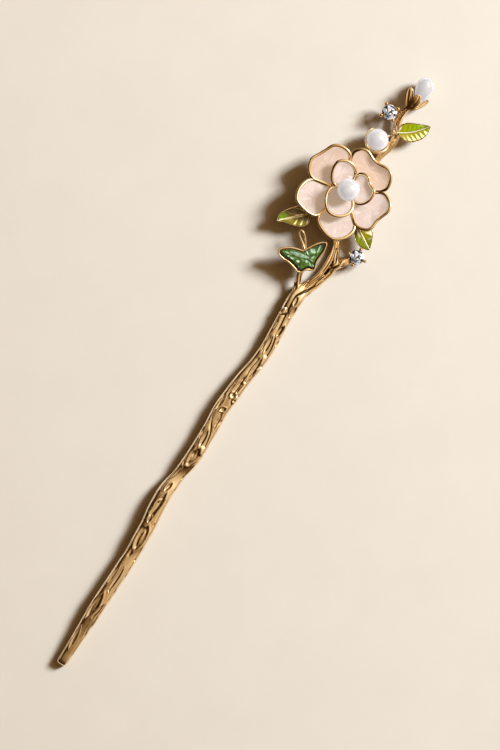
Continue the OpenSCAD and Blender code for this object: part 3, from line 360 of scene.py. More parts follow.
# A tube's end runs on by this share of its half height; directions are taken this far each way
END_ROUND = 0.6
BESIDE = 0.004


# Numbers and curves
def eased(t):
    """0 below 0, 1 above 1, and three t squared less two t cubed between."""
    t = np.clip(t, 0, 1)
    return t * t * (3 - 2 * t)


def bump(t):
    """Bell curve: e to the power of minus t squared."""
    return np.exp(-t * t)


def unit(v):
    """Vectors along the last axis, each divided by its length."""
    return v / np.maximum(np.linalg.norm(v, axis=-1, keepdims=True), 1e-9)


def around(count):
    """Even angles once round, in radians."""
    return np.linspace(0, 2 * np.pi, count, endpoint=False)


def heading(a):
    """Level unit vector at an angle: its cosine, its sine and 0."""
    return np.array([math.cos(a), math.sin(a), 0.0])


def globe(az, el):
    """Unit vectors at azimuths and elevations in radians."""
    return np.stack([np.cos(el) * np.cos(az), np.cos(el) * np.sin(az), np.sin(el)], -1)


def flow(rows, s, closed=False):
    """Smooth curve through a table's rows: at each s from 0 to 1, the cubic that passes
    through the two rows beside it with the slopes of their neighbours."""
    rows = np.asarray(rows, float)
    count = len(rows) if closed else len(rows) - 1
    u = np.asarray(s, float) * count
    i = np.minimum(np.floor(u).astype(int), count - 1)
    f = (u - i)[..., None]

    def row(k):
        """The row k after the one before s."""
        return rows[(i + k) % len(rows)] if closed else rows[np.clip(i + k, 0, len(rows) - 1)]

    a, b, c, d = row(-1), row(0), row(1), row(2)
    return 0.5 * (2 * b + (c - a) * f + (2 * a - 5 * b + 4 * c - d) * f ** 2
                  + (3 * b - a - 3 * c + d) * f ** 3)


def course(rows, s):
    """Steps of a table's rows from a little before each s to a little after it."""
    return flow(rows, np.minimum(s + BESIDE, 1)) - flow(rows, np.maximum(s - BESIDE, 0))


def even(line, count):
    """A closed line of points with its points spaced evenly along it."""
    loop = np.vstack([line, line[:1]])
    run = np.concatenate([[0], np.cumsum(np.linalg.norm(np.diff(loop, axis=0), axis=1))])
    at = np.linspace(0, run[-1], count, endpoint=False)
    return np.stack([np.interp(at, run, loop[:, k]) for k in range(loop.shape[1])], 1)


def softened(line, times):
    """A closed line with each point moved to the mean of itself and its neighbours."""
    for _ in range(times):
        line = 0.5 * line + 0.25 * (np.roll(line, 1, 0) + np.roll(line, -1, 0))
    return line


def inset(line, d):
    """A closed anticlockwise line moved in by d, square to its own direction."""
    t = unit(np.roll(line, -1, 0) - np.roll(line, 1, 0))
    return line + d * np.stack([-t[:, 1], t[:, 0]], 1)


# Meshes
def shell(rings):
    """Corners and faces of a closed skin through rings (ring, point, xyz): squares between
    each ring and the next, and a fan of triangles from the middle of the first and of the
    last ring. Also gives each face corner's two parameters, both from 0 to 1. A skin whose
    signed volume is below 0 has its faces turned round."""
    m, n = rings.shape[:2]
    points = np.vstack([rings.reshape(-1, 3), rings[0].mean(0), rings[-1].mean(0)])
    i, j = (k.ravel() for k in np.meshgrid(np.arange(m - 1), np.arange(n), indexing="ij"))
    corners = (i, j), (i, j + 1), (i + 1, j + 1), (i + 1, j)
    quads = np.stack([ring * n + at % n for ring, at in corners], 1)
    quads_uv = np.stack([np.stack(corner, 1) for corner in corners], 1) / [m - 1, n]
    j = np.arange(n)
    j1 = (j + 1) % n
    low = np.stack([np.full(n, m * n), j1, j], 1)
    high = np.stack([np.full(n, m * n + 1), (m - 1) * n + j, (m - 1) * n + j1], 1)
    low_uv, high_uv = (np.stack([np.stack([0 * j + end, (j + step) / n], 1) for step in steps], 1)
                       for end, steps in ((0, (0.5, 1, 0)), (1, (0.5, 0, 1))))
    parts = [(quads, quads_uv), (low, low_uv), (high, high_uv)]
    a, b, c, d = (points[quads[:, k]] for k in range(4))
    if (a * (np.cross(b, c) + np.cross(c, d))).sum() < 0:
        parts = [(faces[:, ::-1], uv[:, ::-1]) for faces, uv in parts]
    return (points, [face for faces, _ in parts for face in faces.tolist()],
            np.vstack([uv.reshape(-1, 2) for _, uv in parts]))


def circle(count):
    """Points of a level circle of radius 1, at even angles."""
    a = around(count)
    return np.stack([np.cos(a), np.sin(a), 0 * a], 1)


def lathed(mid, profile, count):
    """Closed body turned about an upright axis: rings of each radius and height of a
    profile over a middle point."""
    return shell(np.array([mid + circle(count) * r + UP * z for r, z in profile]))


def piece(name, shells, material, nodes, masks=()):
    """One object from one or more skins, riding the part's only body. masks are (name,
    function of the points in the tables' frame) and become values that the material reads."""
    points, faces, corner_uv, start = [], [], [], 0
    for p, f, uv in shells:
        points.append(p)
        faces += [[k + start for k in face] for face in f]
        corner_uv.append(uv)
        start += len(p)
    mesh = bpy.data.meshes.new(name)
    mesh.from_pydata(((np.vstack(points) + PLAN_SHIFT) * MM).tolist(), [], faces)
    layer = mesh.uv_layers.new(name="surface")
    layer.data.foreach_set("uv", np.vstack(corner_uv).ravel())
    mesh.polygons.foreach_set("use_smooth", np.ones(len(mesh.polygons), bool))
    for key, value in masks:
        layer = mesh.attributes.new(key, "FLOAT", "POINT")
        layer.data.foreach_set("value", value(np.vstack(points)))
    mesh.update()
    obj = bpy.data.objects.new(name, mesh)
    bpy.context.scene.collection.objects.link(obj)
    mesh.materials.append(material)
    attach(obj, "root")
    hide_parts(*nodes)
    return obj


def gilt_piece(name, shells, look, node="twig"):
    """A gilt piece of the twig or of a flower layer."""
    return piece(name, shells, look, [node])


def rounded(s, a):
    """Section of a plain wire: a circle."""
    return np.cos(a), np.sin(a)


def hoops(rows, steps, sides, section):
    """Rings round a path: at each step the middle plus half width times cosine to the side
    plus half height times sine upwards, each times the section's own share."""
    s = np.linspace(0, 1, steps)
    p = flow(rows, s)
    ahead = unit(course(rows, s)[:, :3])
    side = unit(np.cross(ahead, UP))
    over = np.cross(side, ahead)
    a = around(sides)
    share_w, share_h = section(s[:, None], a[None])
    return (p[:, None, :3] + side[:, None] * (p[:, 3:4] * share_w)[..., None]
            + over[:, None] * (p[:, 4:5] * share_h)[..., None])


def fluted(s, a):
    """Section of a cast branch: a circle with four soft flutes and seven finer ones on its
    upper side, which both wander round it on the way."""
    waves = 0.13 * np.cos(4 * a + 3 * np.sin(7 * s)) + 0.06 * np.cos(7 * a - 8 * s) - 0.05
    r = 1 + waves * eased((np.sin(a) + 0.35) / 0.6)
    return r * np.cos(a), r * np.sin(a)


def tube(rows, steps, sides, section=rounded):
    """Closed tube along a table's rows. Its ends are rounded: they run on by END_ROUND of
    the half height, times the sine of an angle, and narrow by the cosine."""
    rings = hoops(rows, steps, sides, section)
    first, last = rings[0].mean(0), rings[-1].mean(0)
    ahead_first = unit(first - rings[1].mean(0))
    ahead_last = unit(last - rings[-2].mean(0))
    t = np.sin(np.linspace(0, 1, 6)[1:-1] * np.pi / 2)[:, None, None]
    shrink = np.sqrt(1 - t ** 2)
    low = first + (rings[0] - first) * shrink + ahead_first * rows[0][4] * END_ROUND * t
    high = last + (rings[-1] - last) * shrink + ahead_last * rows[-1][4] * END_ROUND * t
    return shell(np.concatenate([low[::-1], rings, high]))


def ball(mid, r, steps=16, sides=28):
    """Sphere: rings of latitude about the Z axis."""
    el = np.linspace(-90, 90, steps + 2)[1:-1] * np.pi / 180
    el, az = np.meshgrid(el, around(sides), indexing="ij")
    return shell(np.asarray(mid) + r * globe(az, el))


# Bark stick
def sunk(x, y, edge):
    """Depth of the bark at plan points. A hollow is an almond: its depth is eased in over a
    narrow wall, where across plus along squared is one, with a low lip outside. A crack
    drops steeply as y passes its line and comes back by an exponential slope beyond it. One
    more crack, the shoulder, follows the stick's far edge, at y = edge."""
    depth = np.zeros_like(x)
    for hx, hy, length, width, deep, slant in HOLLOWS:
        c, s = math.cos(math.radians(slant)), math.sin(math.radians(slant))
        u = ((x - hx) * c + (y - hy) * s) / length * 2
        v = ((y - hy) * c - (x - hx) * s) / width * 2
        m = np.abs(v) + u * u
        depth += 0.75 * deep * (eased((1.15 - m) / 0.65) - 0.3 * bump((m - 1.45) / 0.3))
    for deep, wall, reach, line in CRACKS:
        at, path = np.array(line[::2]), np.array(line[1::2])
        d = y - np.interp(x, at, path)
        fade = eased((x - at[0]) / 0.9 + 0.3) * eased((at[-1] - x) / 0.9 + 0.3)
        depth += 0.9 * deep * fade * eased(d / (2.2 * wall) + 0.5) * np.exp(-np.maximum(d, 0) / reach)
    deep, wall, reach, off = SHOULDER
    d = y - (edge - off - 0.05 * np.sin(x * 0.9))
    return depth + deep * eased(d / wall + 0.5) * np.exp(-np.maximum(d, 0) / reach)


def bark(steps, sides):
    """Rings round the stick, with their points closest on its upper side: a rounded oblong of
    the measured width, each point drawn towards the middle by the bark's depth there. The
    underside has the upper side's hollows, mirrored, a little further on and shallower."""
    s = np.linspace(0, 1, steps)
    p = flow(STICK, s)
    half = p[:, 2] / 2
    mid = np.stack([p[:, 0], p[:, 1], half * STICK_FLAT], 1)
    side = np.cross(unit(course(STICK, s) * [1, 1, 0]), UP)
    a = around(sides)
    a += TOP_CLOSER * np.cos(a)
    c = np.sign(np.cos(a)) * np.abs(np.cos(a)) ** (2 / STICK_SQUARE)
    h = np.sign(np.sin(a)) * np.abs(np.sin(a)) ** (2 / STICK_SQUARE)
    out = (side[:, None] * (half[:, None] * c)[..., None]
           + UP * (half[:, None] * STICK_FLAT * h)[..., None])
    raw = mid[:, None] + out
    edge = p[:, 1:2] + half[:, None]
    upper = sunk(raw[..., 0], raw[..., 1], edge)
    under = UNDER_SHARE * sunk(raw[..., 0] + UNDER_ON, 2 * p[:, 1:2] - raw[..., 1], edge)
    sink = np.minimum(np.where(np.sin(a) >= 0, upper, np.maximum(under, 0)), BARK_DEEPEST)
    fade = eased(np.abs(np.sin(a)) * 2.6) * eased((p[:, :1] + 90) / 2)
    return mid[:, None] + out * (1 - sink * fade / half[:, None])[..., None]


def crest(q):
    """Height of the metal's upper side at plan points: the highest of the bark's rounded
    oblong, less its depth there, and the half ellipses over the branch's paths."""
    rows = flow(STICK, np.linspace(0, 1, 900))
    mid = np.interp(q[:, 0], rows[:, 0], rows[:, 1])
    half = np.interp(q[:, 0], rows[:, 0], rows[:, 2]) / 2
    share = np.clip(1 - (np.abs(q[:, 1] - mid) / half) ** STICK_SQUARE, 0, 1) ** (1 / STICK_SQUARE)
    top = half * STICK_FLAT * (1 + share) - sunk(q[:, 0], q[:, 1], mid + half)
    top = np.where((q[:, 0] < 26.5) & (share > 0), top, 0)
    for path in (RIGHT_STRAND, LEFT_STRAND, LEFT_PRONG, SIDE_TWIG):
        p = flow(path, np.linspace(0, 1, 300))
        d = np.linalg.norm(q[:, None] - p[None, :, :2], axis=2)
        dome = p[:, 2] + p[:, 4] * np.sqrt(np.clip(1 - (d / p[:, 3]) ** 2, 0, 1))
        top = np.maximum(top, np.where(d < p[:, 3], dome, 0).max(1))
    return top


def groove(rows, steps=160, across=13):
    """Painted groove shade: a thin dark skin laid in the metal along a path. It lies a hair above the
    metal's height, less the cube of the way across, and a little below it underneath."""
    p = flow(rows, np.linspace(0, 1, steps))
    ahead = unit(np.gradient(p[:, :2], axis=0))
    side = np.stack([-ahead[:, 1], ahead[:, 0]], 1)
    v = np.linspace(-1, 1, across)
    plan = p[:, None, :2] + side[:, None] * (p[:, 2:3] * v)[..., None]
    high = crest(plan.reshape(-1, 2)).reshape(steps, across)
    high = softened(high.T, 2).T
    upper = np.concatenate([plan, (high + GROOVE_OVER - GROOVE_FALL * np.abs(v) ** 3)[..., None]], 2)
    under = np.concatenate([plan, np.maximum(high - GROOVE_UNDER, 0.02)[..., None]], 2)[:, ::-1]
    return shell(np.concatenate([upper, under], 1))


# Flower
def petal_edge(lay, p, count=150):
    """Plan outline of a petal, anticlockwise, from the middle of its inner end: two side
    lines, and between them the radius about the flower's middle, which blends the two notch
    radii, adds the bulge (one less |s| to a power, to the power's root) and takes off the
    dip, a bell curve. Also gives the rim's height at each point."""
    mid = np.array(lay["mid"])
    a0, a1, r0, r1, bulge, power, dip, dip_at, dip_w, lift, drop = p
    s = np.sin(np.linspace(-90, 90, 90) * np.pi / 180)
    r = ((r0 * (1 - s) + r1 * (1 + s)) / 2 + bulge * np.maximum(1 - np.abs(s) ** power, 0) ** (1 / power)
         - dip * bump((s - dip_at) / dip_w))
    ang = np.radians((a0 + a1) / 2 + s * (a1 - a0) / 2)
    arc = mid + r[:, None] * np.stack([np.cos(ang), np.sin(ang)], 1)
    half = RIM_W / 2

    def side(angle, notch, off):
        """Straight side line at an angle, moved square to itself by off."""
        t = np.linspace(0, 1, 24)[:, None]
        way = heading(math.radians(angle))
        across = np.cross(UP, way)[:2]
        return mid + way[:2] * (lay["inner"] + (notch * 0.93 - lay["inner"]) * t) + across * off

    end = mid + lay["inner"] * heading(math.radians((a0 + a1) / 2))[:2]
    line = np.vstack([end[None], side(a0, r0, -half), arc, side(a1, r1, half)[::-1]])
    lifts = np.concatenate([[-drop], np.full(24, -drop), lift * (1 - s * s) - drop * s * s,
                            np.full(24, -drop)])
    both = softened(even(np.column_stack([line, lifts]), count), 3)
    return both[:, :2], rim_height(lay, both[:, :2]) + both[:, 2]


def rim_height(lay, q):
    """Height of a layer's rims: a parabola about the flower's middle."""
    return lay["z"] + lay["rise"] * ((q - np.array(lay["mid"])) ** 2).sum(-1) / lay["edge"] ** 2


def petal_centre(lay, p):
    """Lowest point of a petal's bowl: on the petal's middle line, at the layer's radius for
    it, under the rim's height there by the rim and the bowl's depth."""
    c = np.array(lay["mid"]) + lay["centre"] * heading(math.radians((p[0] + p[1]) / 2))[:2]
    return c, rim_height(lay, c) - RIM_H - lay["deep"]


def bowl(lay, p, line, z, t, lift):
    """Ring of the petal's bowl: plan points at share t from its centre to the line, and a
    height that grows with t squared."""
    c, zc = petal_centre(lay, p)
    plan = c + (line - c) * t
    return np.column_stack([plan, zc + (z - RIM_H - zc) * t ** 2 + lift])


def petal_tray(lay, p):
    """Metal tray of a petal: its floor out to the rim, up and over the rim, down the outer
    wall, and back under the floor. The rim's top is an arc of a circle whose radius is the
    bead's half width over the cosine of the angle where it starts and ends."""
    line, z = petal_edge(lay, p)
    floor_line = inset(line, 2 * BEAD + 0.02)
    arc = BEAD / math.cos(math.radians(BEAD_START))
    shares = np.linspace(0.12, 1, 9)
    rings = [bowl(lay, p, floor_line, z, t, 0) for t in shares]
    rings.append(np.column_stack([inset(line, 2 * BEAD), z - BEAD_FOOT]))
    for a in np.radians(np.linspace(180 - BEAD_START, BEAD_START, 14)):
        rings.append(np.column_stack([inset(line, BEAD - arc * math.cos(a)), z - arc + arc * math.sin(a)]))
    for into, under in PETAL_WALL:
        rings.append(np.column_stack([inset(line, into), z - under]))
    rings += [bowl(lay, p, floor_line, z, t, -SHEET_T) for t in shares[:-1][::-1]]
    return shell(np.array(rings))


def petal_glaze(lay, p):
    """Enamel of a petal: the bowl's floor raised by the enamel, which is thickest in its
    middle by a parabola and eased down at its edge, and its underside just clear of the
    metal."""
    line, z = petal_edge(lay, p)
    edge = inset(line, 2 * BEAD + 0.01)
    shares = np.concatenate([np.linspace(0.04, 0.9, 24), np.linspace(0.93, 1, 6)])
    thick = GLAZE_DOME * (1 - shares ** 2) - GLAZE_EDGE * eased((shares - 0.8) / 0.2) + ENAMEL_T + GAP
    top = [bowl(lay, p, edge, z, t, lift) for t, lift in zip(shares, thick)]
    low = [bowl(lay, p, edge, z, t, GAP) for t in np.linspace(1, 0.04, 8)]
    return shell(np.array(top + low))


# Leaves
def leaf_rows(leaf, a):
    """Bow and half widths of a leaf at distances along it."""
    rows = np.array(leaf["rows"])
    s = np.interp(a, rows[:, 0], np.linspace(0, 1, len(rows)))
    return flow(rows, s)


def leaf_place(leaf, a, off, lift):
    """Point of a leaf at a distance along it and across it: bowed in plan, cupped across by
    the square of the offset, and climbing evenly to its tip."""
    h = math.radians(leaf["turn"])
    row = leaf_rows(leaf, a)
    y = row[..., 1] + off
    return np.stack([leaf["base"][0] + a * math.cos(h) - y * math.sin(h),
                     leaf["base"][1] + a * math.sin(h) + y * math.cos(h),
                     leaf["low"] + (leaf["high"] - leaf["low"]) * a / leaf["rows"][-1][0]
                     + LEAF_CUP * off ** 2 + lift], -1)


def leaf_line(leaf, less, lift, count=60, teeth=0.0):
    """Outline ring of a leaf drawn in by less: out along its right edge and back along its
    left, with small teeth along both edges, which are a sine wave without its sign."""
    long = leaf["rows"][-1][0]
    s = np.sin(np.linspace(0, 90, count) * np.pi / 180) ** 2
    a = less * 0.6 + (long - 1.6 * less - less * 0.6) * s
    saw = teeth * np.abs(np.sin(a / long * 9 * np.pi)) * np.sin(np.clip(a / long, 0, 1) * np.pi)
    row = leaf_rows(leaf, a)
    right = leaf_place(leaf, a, -np.maximum(row[:, 3] - less - saw, 0.03), lift)
    left = leaf_place(leaf, a, np.maximum(row[:, 2] - less - saw, 0.03), lift)
    return np.vstack([right, left[::-1]])


def leaf_tray(leaf):
    """Metal tray of a leaf, from its floor over the rim to its back: rings drawn from its
    outline straight towards its middle, and round the rim by a table of shares and heights."""
    long = leaf["rows"][-1][0]
    mid = leaf_place(leaf, np.array([long * 0.45]), np.array([0.0]), 0.0)[0]

    def toward(ring, t, z):
        """Ring at share t of its way out from the middle, raised by z."""
        return mid + (ring - mid) * t + UP * z

    floor_ring = leaf_line(leaf, LEAF_RIM + 0.04, 0.0)
    rings = [toward(floor_ring, t, 0) for t in (0.3, 0.7, 1.0)]
    for d, dz in LEAF_WALL:
        rings.append(leaf_line(leaf, LEAF_RIM * d, dz, teeth=0.07))
    back = leaf_line(leaf, LEAF_RIM, -0.26)
    rings += [toward(back, t, -0.12 * (1 - t)) for t in (0.8, 0.4)]
    return shell(np.array(rings))


def midrib(leaf):
    """Midrib of a leaf: a tube along its middle that narrows towards the tip."""
    a = np.linspace(0.2, leaf["rows"][-1][0] - 0.3, 6)
    spine = leaf_place(leaf, a, np.zeros(6), RIB_LIFT)
    half = RIB_W / 2 * (RIB_ROOT - 0.1 * np.arange(6))
    return tube(np.column_stack([spine, half, np.full(6, RIB_HALF)]), 60, 20)


def leaf_glaze(leaf, side):
    """Enamel of one half of a leaf: sections across it, carried from its base to its tip.
    Each is a low dome between the midrib and the rim, the root of 4v times one less v, with
    slanting veins, a cosine wave."""
    long = leaf["rows"][-1][0]
    col = 2 if side > 0 else 3
    inner = RIB_W / 2 * RIB_ROOT + GAP + 0.02
    a = np.linspace(0.5, long - 0.6, 400)

    def room_at(a):
        """How far out the enamel can reach at distances along the leaf."""
        return leaf_rows(leaf, a)[:, col] - LEAF_RIM - 0.05 - GAP

    a = a[room_at(a) > inner + 0.04]
    a = np.linspace(a.min(), a.max(), 90)
    outer = room_at(a)
    v = np.concatenate([np.linspace(0, 1, 24), [1, 0.5, 0]])
    low = np.concatenate([np.zeros(24, bool), np.ones(3, bool)])
    off = inner + (outer - inner)[:, None] * v
    deep = 0.07 + GAP
    vein = np.cos(2 * np.pi * (a[:, None] / VEIN_APART - off * VEIN_LEAN))
    dome = np.clip(4 * v * (1 - v), 0, 1)
    top = deep + LEAF_ENAMEL + LEAF_DOME * np.sqrt(dome) + LEAF_VEIN * vein * dome
    grid_a = np.broadcast_to(a[:, None], off.shape)
    return shell(leaf_place(leaf, grid_a, off * side, np.where(low, deep, top)))


# Butterfly
def wing_height(q):
    """The butterfly's plane, rising evenly towards its far wing."""
    return WING_Z + WING_RISE * q[:, 1]


def wing_line():
    """The butterfly's outline as evenly spaced points, and its outward directions."""
    line = softened(even(flow(WING, np.linspace(0, 1, 400, endpoint=False), closed=True), 260), 2)
    return line, unit(line - inset(line, 0.1))


def wing_ring(line, lift):
    """Plan points lifted off the butterfly's plane."""
    return np.column_stack([line, wing_height(line) + lift])


def wing_bezel():
    """Rim and back of the butterfly: over the floor, up round the polished bead at its edge
    and under the back. The bead is thickest where the outline faces the far side."""
    line, out = wing_line()
    bead = WING_BEAD * (0.72 + 0.28 * eased((out @ np.array([0.22, 0.97]) + 0.2) / 0.8))
    floor_line = inset(line, WING_FLOOR)
    rings = [wing_ring(WING_MID + (floor_line - WING_MID) * t, WING_LOW) for t in (0.2, 0.6, 1.0)]
    for a in np.radians(np.linspace(200, -20, 16)):
        plan = inset(line, (bead * (1 - math.cos(a)))[:, None])
        rings.append(wing_ring(plan, WING_HIGH + bead * math.sin(a)))
    rings += [wing_ring(inset(line, d), lift) for d, lift in ((0.02, 0.3), (0.06, 0.1), (0.26, 0.0))]
    rings.append(wing_ring(WING_MID + (floor_line - WING_MID) * 0.5, 0.0))
    return shell(np.array(rings))


def wing_glaze():
    """Inlay of the butterfly: a low dome, one less the cube of the share of the way out,
    carved with soft veins that fan from the body, a cosine wave of the angle."""
    line = inset(wing_line()[0], WING_FLOOR)
    rings = []
    for t in np.concatenate([np.linspace(0.03, 0.9, 30), np.linspace(0.93, 1, 6)]):
        q = WING_MID + (line - WING_MID) * t
        fan = np.arctan2(q[:, 1] - WING_MID[1], q[:, 0] - WING_MID[0])
        carve = 0.05 * np.cos(fan * 11) * eased((t - 0.1) / 0.3) * eased((1 - t) / 0.2)
        rings.append(wing_ring(q, WING_HIGH + 0.2 * (1 - t ** 3) + carve))
    rings += [wing_ring(WING_MID + (line - WING_MID) * t, WING_LOW + GAP) for t in (1.0, 0.5, 0.05)]
    return shell(np.array(rings))


# Small metal
def setting(mid, turn, tip):
    """Four prongs that lean out from a small cup and end in balls of radius tip over the
    stone."""
    skins = []
    for k in range(4):
        way = heading(math.radians(turn + 90 * k))
        skins.append(tube([[*(mid + way * r + UP * z), PRONG_R, PRONG_R] for r, z in PRONG], 30, 20))
        skins.append(ball(mid + way * PRONG_TIP[0] + UP * PRONG_TIP[1], tip))
    return skins + [lathed(mid, STONE_CUP, 40)]


def bud_cup():
    """Bowl round the bud pearl's lower side: a profile of radius and angle, up its inside,
    over its lip and down its outside, turned about a leaning axis. Also the wire that hugs
    the pearl."""
    r0 = BUD_R + GAP + 0.14
    low = unit(BUD_LEAN)
    side = unit(np.cross(low, UP))
    over = np.cross(side, low)
    climb = np.radians(np.linspace(2, 61.5, 24))
    thick = 0.4 + 0.18 * np.linspace(0, 1, 24)
    lip = np.array([[r0 + 0.1, 0.02], [r0 + 0.3, 0.035], [r0 + 0.5, 0.02]])
    radius = np.concatenate([np.full(24, r0), lip[:, 0], (r0 + thick)[::-1]])
    arc = np.concatenate([climb, climb[-1] + lip[:, 1], climb[::-1]])
    a = around(72)
    ring = side * np.cos(a)[:, None] + over * np.sin(a)[:, None]
    rings = BUD_MID + radius[:, None, None] * (np.sin(arc)[:, None, None] * ring
                                               + np.cos(arc)[:, None, None] * low)
    q = np.array(BUD_RING)
    path = BUD_MID + (BUD_R + BUD_WIRE_OFF + q[:, 2:]) * globe(*np.radians(q[:, :2]).T)
    wire = np.column_stack([path, np.full((len(q), 2), BUD_WIRE_R)])
    return [shell(rings), tube(wire.tolist(), 90, 16)]


def over_round(s, a, top):
    """Section that is round underneath and has the height top above, which falls steeply to
    0 at both edges."""
    h = np.sin(a) + 0 * s
    return np.cos(a) + 0 * s, np.where(np.sin(a) > 0, top * np.minimum(1, 3 * np.abs(np.sin(a))), h)


def blade(s, a):
    """Section of an outer sepal: on top a bell-shaped rim along each edge, and a ridge
    between them."""
    w = np.cos(a) + 0 * s
    return over_round(s, a, 0.15 + 0.75 * bump((w - 0.1) / 0.3) + 0.6 * bump((np.abs(w) - 0.82) / 0.15))


def hood(s, a):
    """Section of the middle sepal: on top a parabola, less a bell-shaped crease beside its
    middle, with a fine lip along each edge."""
    w = np.cos(a) + 0 * s
    return over_round(s, a, 1 - 0.5 * w ** 2 - 0.6 * bump((w - 0.3) / 0.12)
                      + 0.25 * bump((np.abs(w) - 0.88) / 0.1))


def egg(count=56, sides=80):
    """Drop pearl: rings along its axis of radius R times the root of one less |2u - 1| to
    the power 2.1, times a share that grows towards the far end. u runs from 0 to 1 over the
    whole drop, and starts at DROP_CUT, where the cup hides it."""
    t = np.sin(np.linspace(0, 90, count) * np.pi / 180)[:-1]
    u = DROP_CUT + (1 - DROP_CUT) * t
    r = DROP_R * np.sqrt(np.maximum(1 - np.abs(2 * u - 1) ** 2.1, 0)) * (0.76 + 0.44 * u) / 1.018
    way = heading(DROP_TURN)
    side = np.cross(UP, way)
    a = around(sides)
    ring = side * np.cos(a)[:, None] + UP * np.sin(a)[:, None]
    points, faces, uv = shell(DROP_BASE + (t * DROP_LEN)[:, None, None] * way + r[:, None, None] * ring)
    points[-1] = DROP_BASE + DROP_LEN * way
    return points, faces, uv


# Materials
class Look:
    """Node tree of a material or of the room, with short ways to add and join nodes."""

    def __init__(self, name, blocks=bpy.data.materials, shader="Principled BSDF"):
        """New material, or another block of that kind, with its plain shader."""
        self.made = blocks.new(name)
        self.made.use_nodes = True
        self.tree = self.made.node_tree
        self.shader = self.tree.nodes[shader]

    def node(self, kind, *values, **settings):
        """New node with values for its sockets in turn, and each setting put on its socket of
        that name or else on the node."""
        made = self.tree.nodes.new("ShaderNode" + kind)
        for key, value in settings.items():
            if key in made.inputs:
                self.give(made.inputs[key], value)
            else:
                setattr(made, key, value)
        for socket, value in zip(made.inputs, values):
            self.give(socket, value)
        return made

    def give(self, socket, value):
        """Value of a socket: a link from another socket, or numbers, a colour as three."""
        if isinstance(value, bpy.types.NodeSocket):
            self.tree.links.new(value, socket)
        elif socket.type == "RGBA":
            socket.default_value = (*value, 1)
        else:
            socket.default_value = value

    def set(self, **values):
        """Values of the shader's own sockets."""
        for key, value in values.items():
            self.give(self.shader.inputs[key.replace("_", " ")], value)

    def coords(self, kind="Object", scale=(1, 1, 1), place=(0, 0, 0)):
        """Coordinates scaled and placed: Object in metres, or UV."""
        source = self.node("TexCoord").outputs[kind]
        return self.node("Mapping", source, Scale=scale, Location=place).outputs[0]

    def noise(self, scale, detail=3.0, roughness=0.55, distortion=0.0, at=None):
        """Soft random pattern from 0 to 1, at object coordinates if no others are given."""
        if at is None:
            at = self.coords()
        return self.node("TexNoise", at, Scale=scale, Detail=detail, Roughness=roughness,
                         Distortion=distortion).outputs["Fac"]

    def ramp(self, fac, stops):
        """Colours by value: stops are (place, colour) with linear or grey colours."""
        made = self.node("ValToRGB", fac)
        band = made.color_ramp
        for k, (place, colour) in enumerate(stops):
            entry = band.elements[k] if k < 2 else band.elements.new(place)
            entry.position = place
            entry.color = (*colour, 1) if len(colour) == 3 else (colour[0],) * 3 + (1,)
        return made.outputs["Color"]

    def mix(self, fac, a, b, kind="MIX"):
        """Blend from a to b, each a colour or a socket."""
        made = self.node("Mix", data_type="RGBA", blend_type=kind)
        for name, value in (("Factor", fac), ("A", a), ("B", b)):
            self.give(made.inputs[name], value)
        return made.outputs["Result"]

    def relief(self, height, strength, distance, level=0.0):
        """Fine relief. level from 0 to 1 turns the shaded surface towards straight up, as a
        poured glaze that has levelled itself in its tray."""
        normal = self.node("Bump", Height=height, Strength=strength, Distance=distance).outputs[0]
        if level:
            shrunk = self.node("VectorMath", normal, operation="SCALE", Scale=1 - level).outputs[0]
            normal = self.node("VectorMath", shrunk, (0, 0, level), operation="ADD").outputs[0]
        self.set(Normal=normal)

    def mask(self, key):
        """A piece's own value of that name at each of its points."""
        return self.node("Attribute", attribute_name=key).outputs["Fac"]


def linear(r, g, b):
    """Linear colour of an 8-bit screen colour."""
    c = np.array([r, g, b]) / 255
    return tuple(float(v) for v in np.where(c <= 0.04045, c / 12.92, ((c + 0.055) / 1.055) ** 2.4))


def gilt(name, wear, grain, pale=(1.0, 0.85, 0.61), deep=(0.93, 0.71, 0.45), metal=1.0, level=0.0):
    """Polished gilt: a warm metal whose tone drifts between pale and deep and whose roughness
    drifts about wear, with a faint grain."""
    look = Look(name)
    tone = look.ramp(look.noise(420, 4), [(0.3, deep), (0.7, pale)])
    drift = look.noise(900, 3, at=look.coords(scale=(0.4, 1, 1)))
    look.set(Base_Color=tone, Metallic=metal,
             Roughness=look.ramp(drift, [(0.3, (wear * 0.6,)), (0.75, (wear * 1.5,))]))
    look.relief(look.noise(grain, 2, at=look.coords(scale=(0.25, 1, 1))), 0.12, 0.00006, level)
    return look.made


def peach_glaze(name, pale, deep):
    """Pearly peach enamel: soft pale streaks that run outwards, its own pearly streaks and partly
    painted sheen, cloudy depth, clear gloss, and a faint painted glow that lifts its shade."""
    look = Look(name)
    streak = look.noise(1.5, 3, 0.55, 0.8, look.coords("UV", (1.6, 15, 1)))
    cloud = look.noise(230, 3, 0.5)
    ground = look.ramp(cloud, [(0.3, linear(*deep)), (0.7, linear(*pale))])
    # Pale streaks: the enamel's pearly streaks, and partly a painted sheen
    streak_sheen = look.ramp(streak, [(0.5, (0.0,)), (0.72, (0.75,))])
    milky = linear(*(min(c + 26, 255) for c in pale))
    # Painted glow: the emission lifts the enamel's shade, though the enamel is no lamp
    look.set(Base_Color=look.mix(streak_sheen, ground, milky), Roughness=0.5, Coat_Weight=0.7,
             Coat_Roughness=0.16, Coat_IOR=1.4, Emission_Color=(1.0, 0.72, 0.52),
             Emission_Strength=0.34)
    look.relief(look.noise(1.3, 2, 0.5, 0.6, look.coords("UV", (1.3, 9, 1))), 0.5, 0.0003, 0.82)
    return look.made


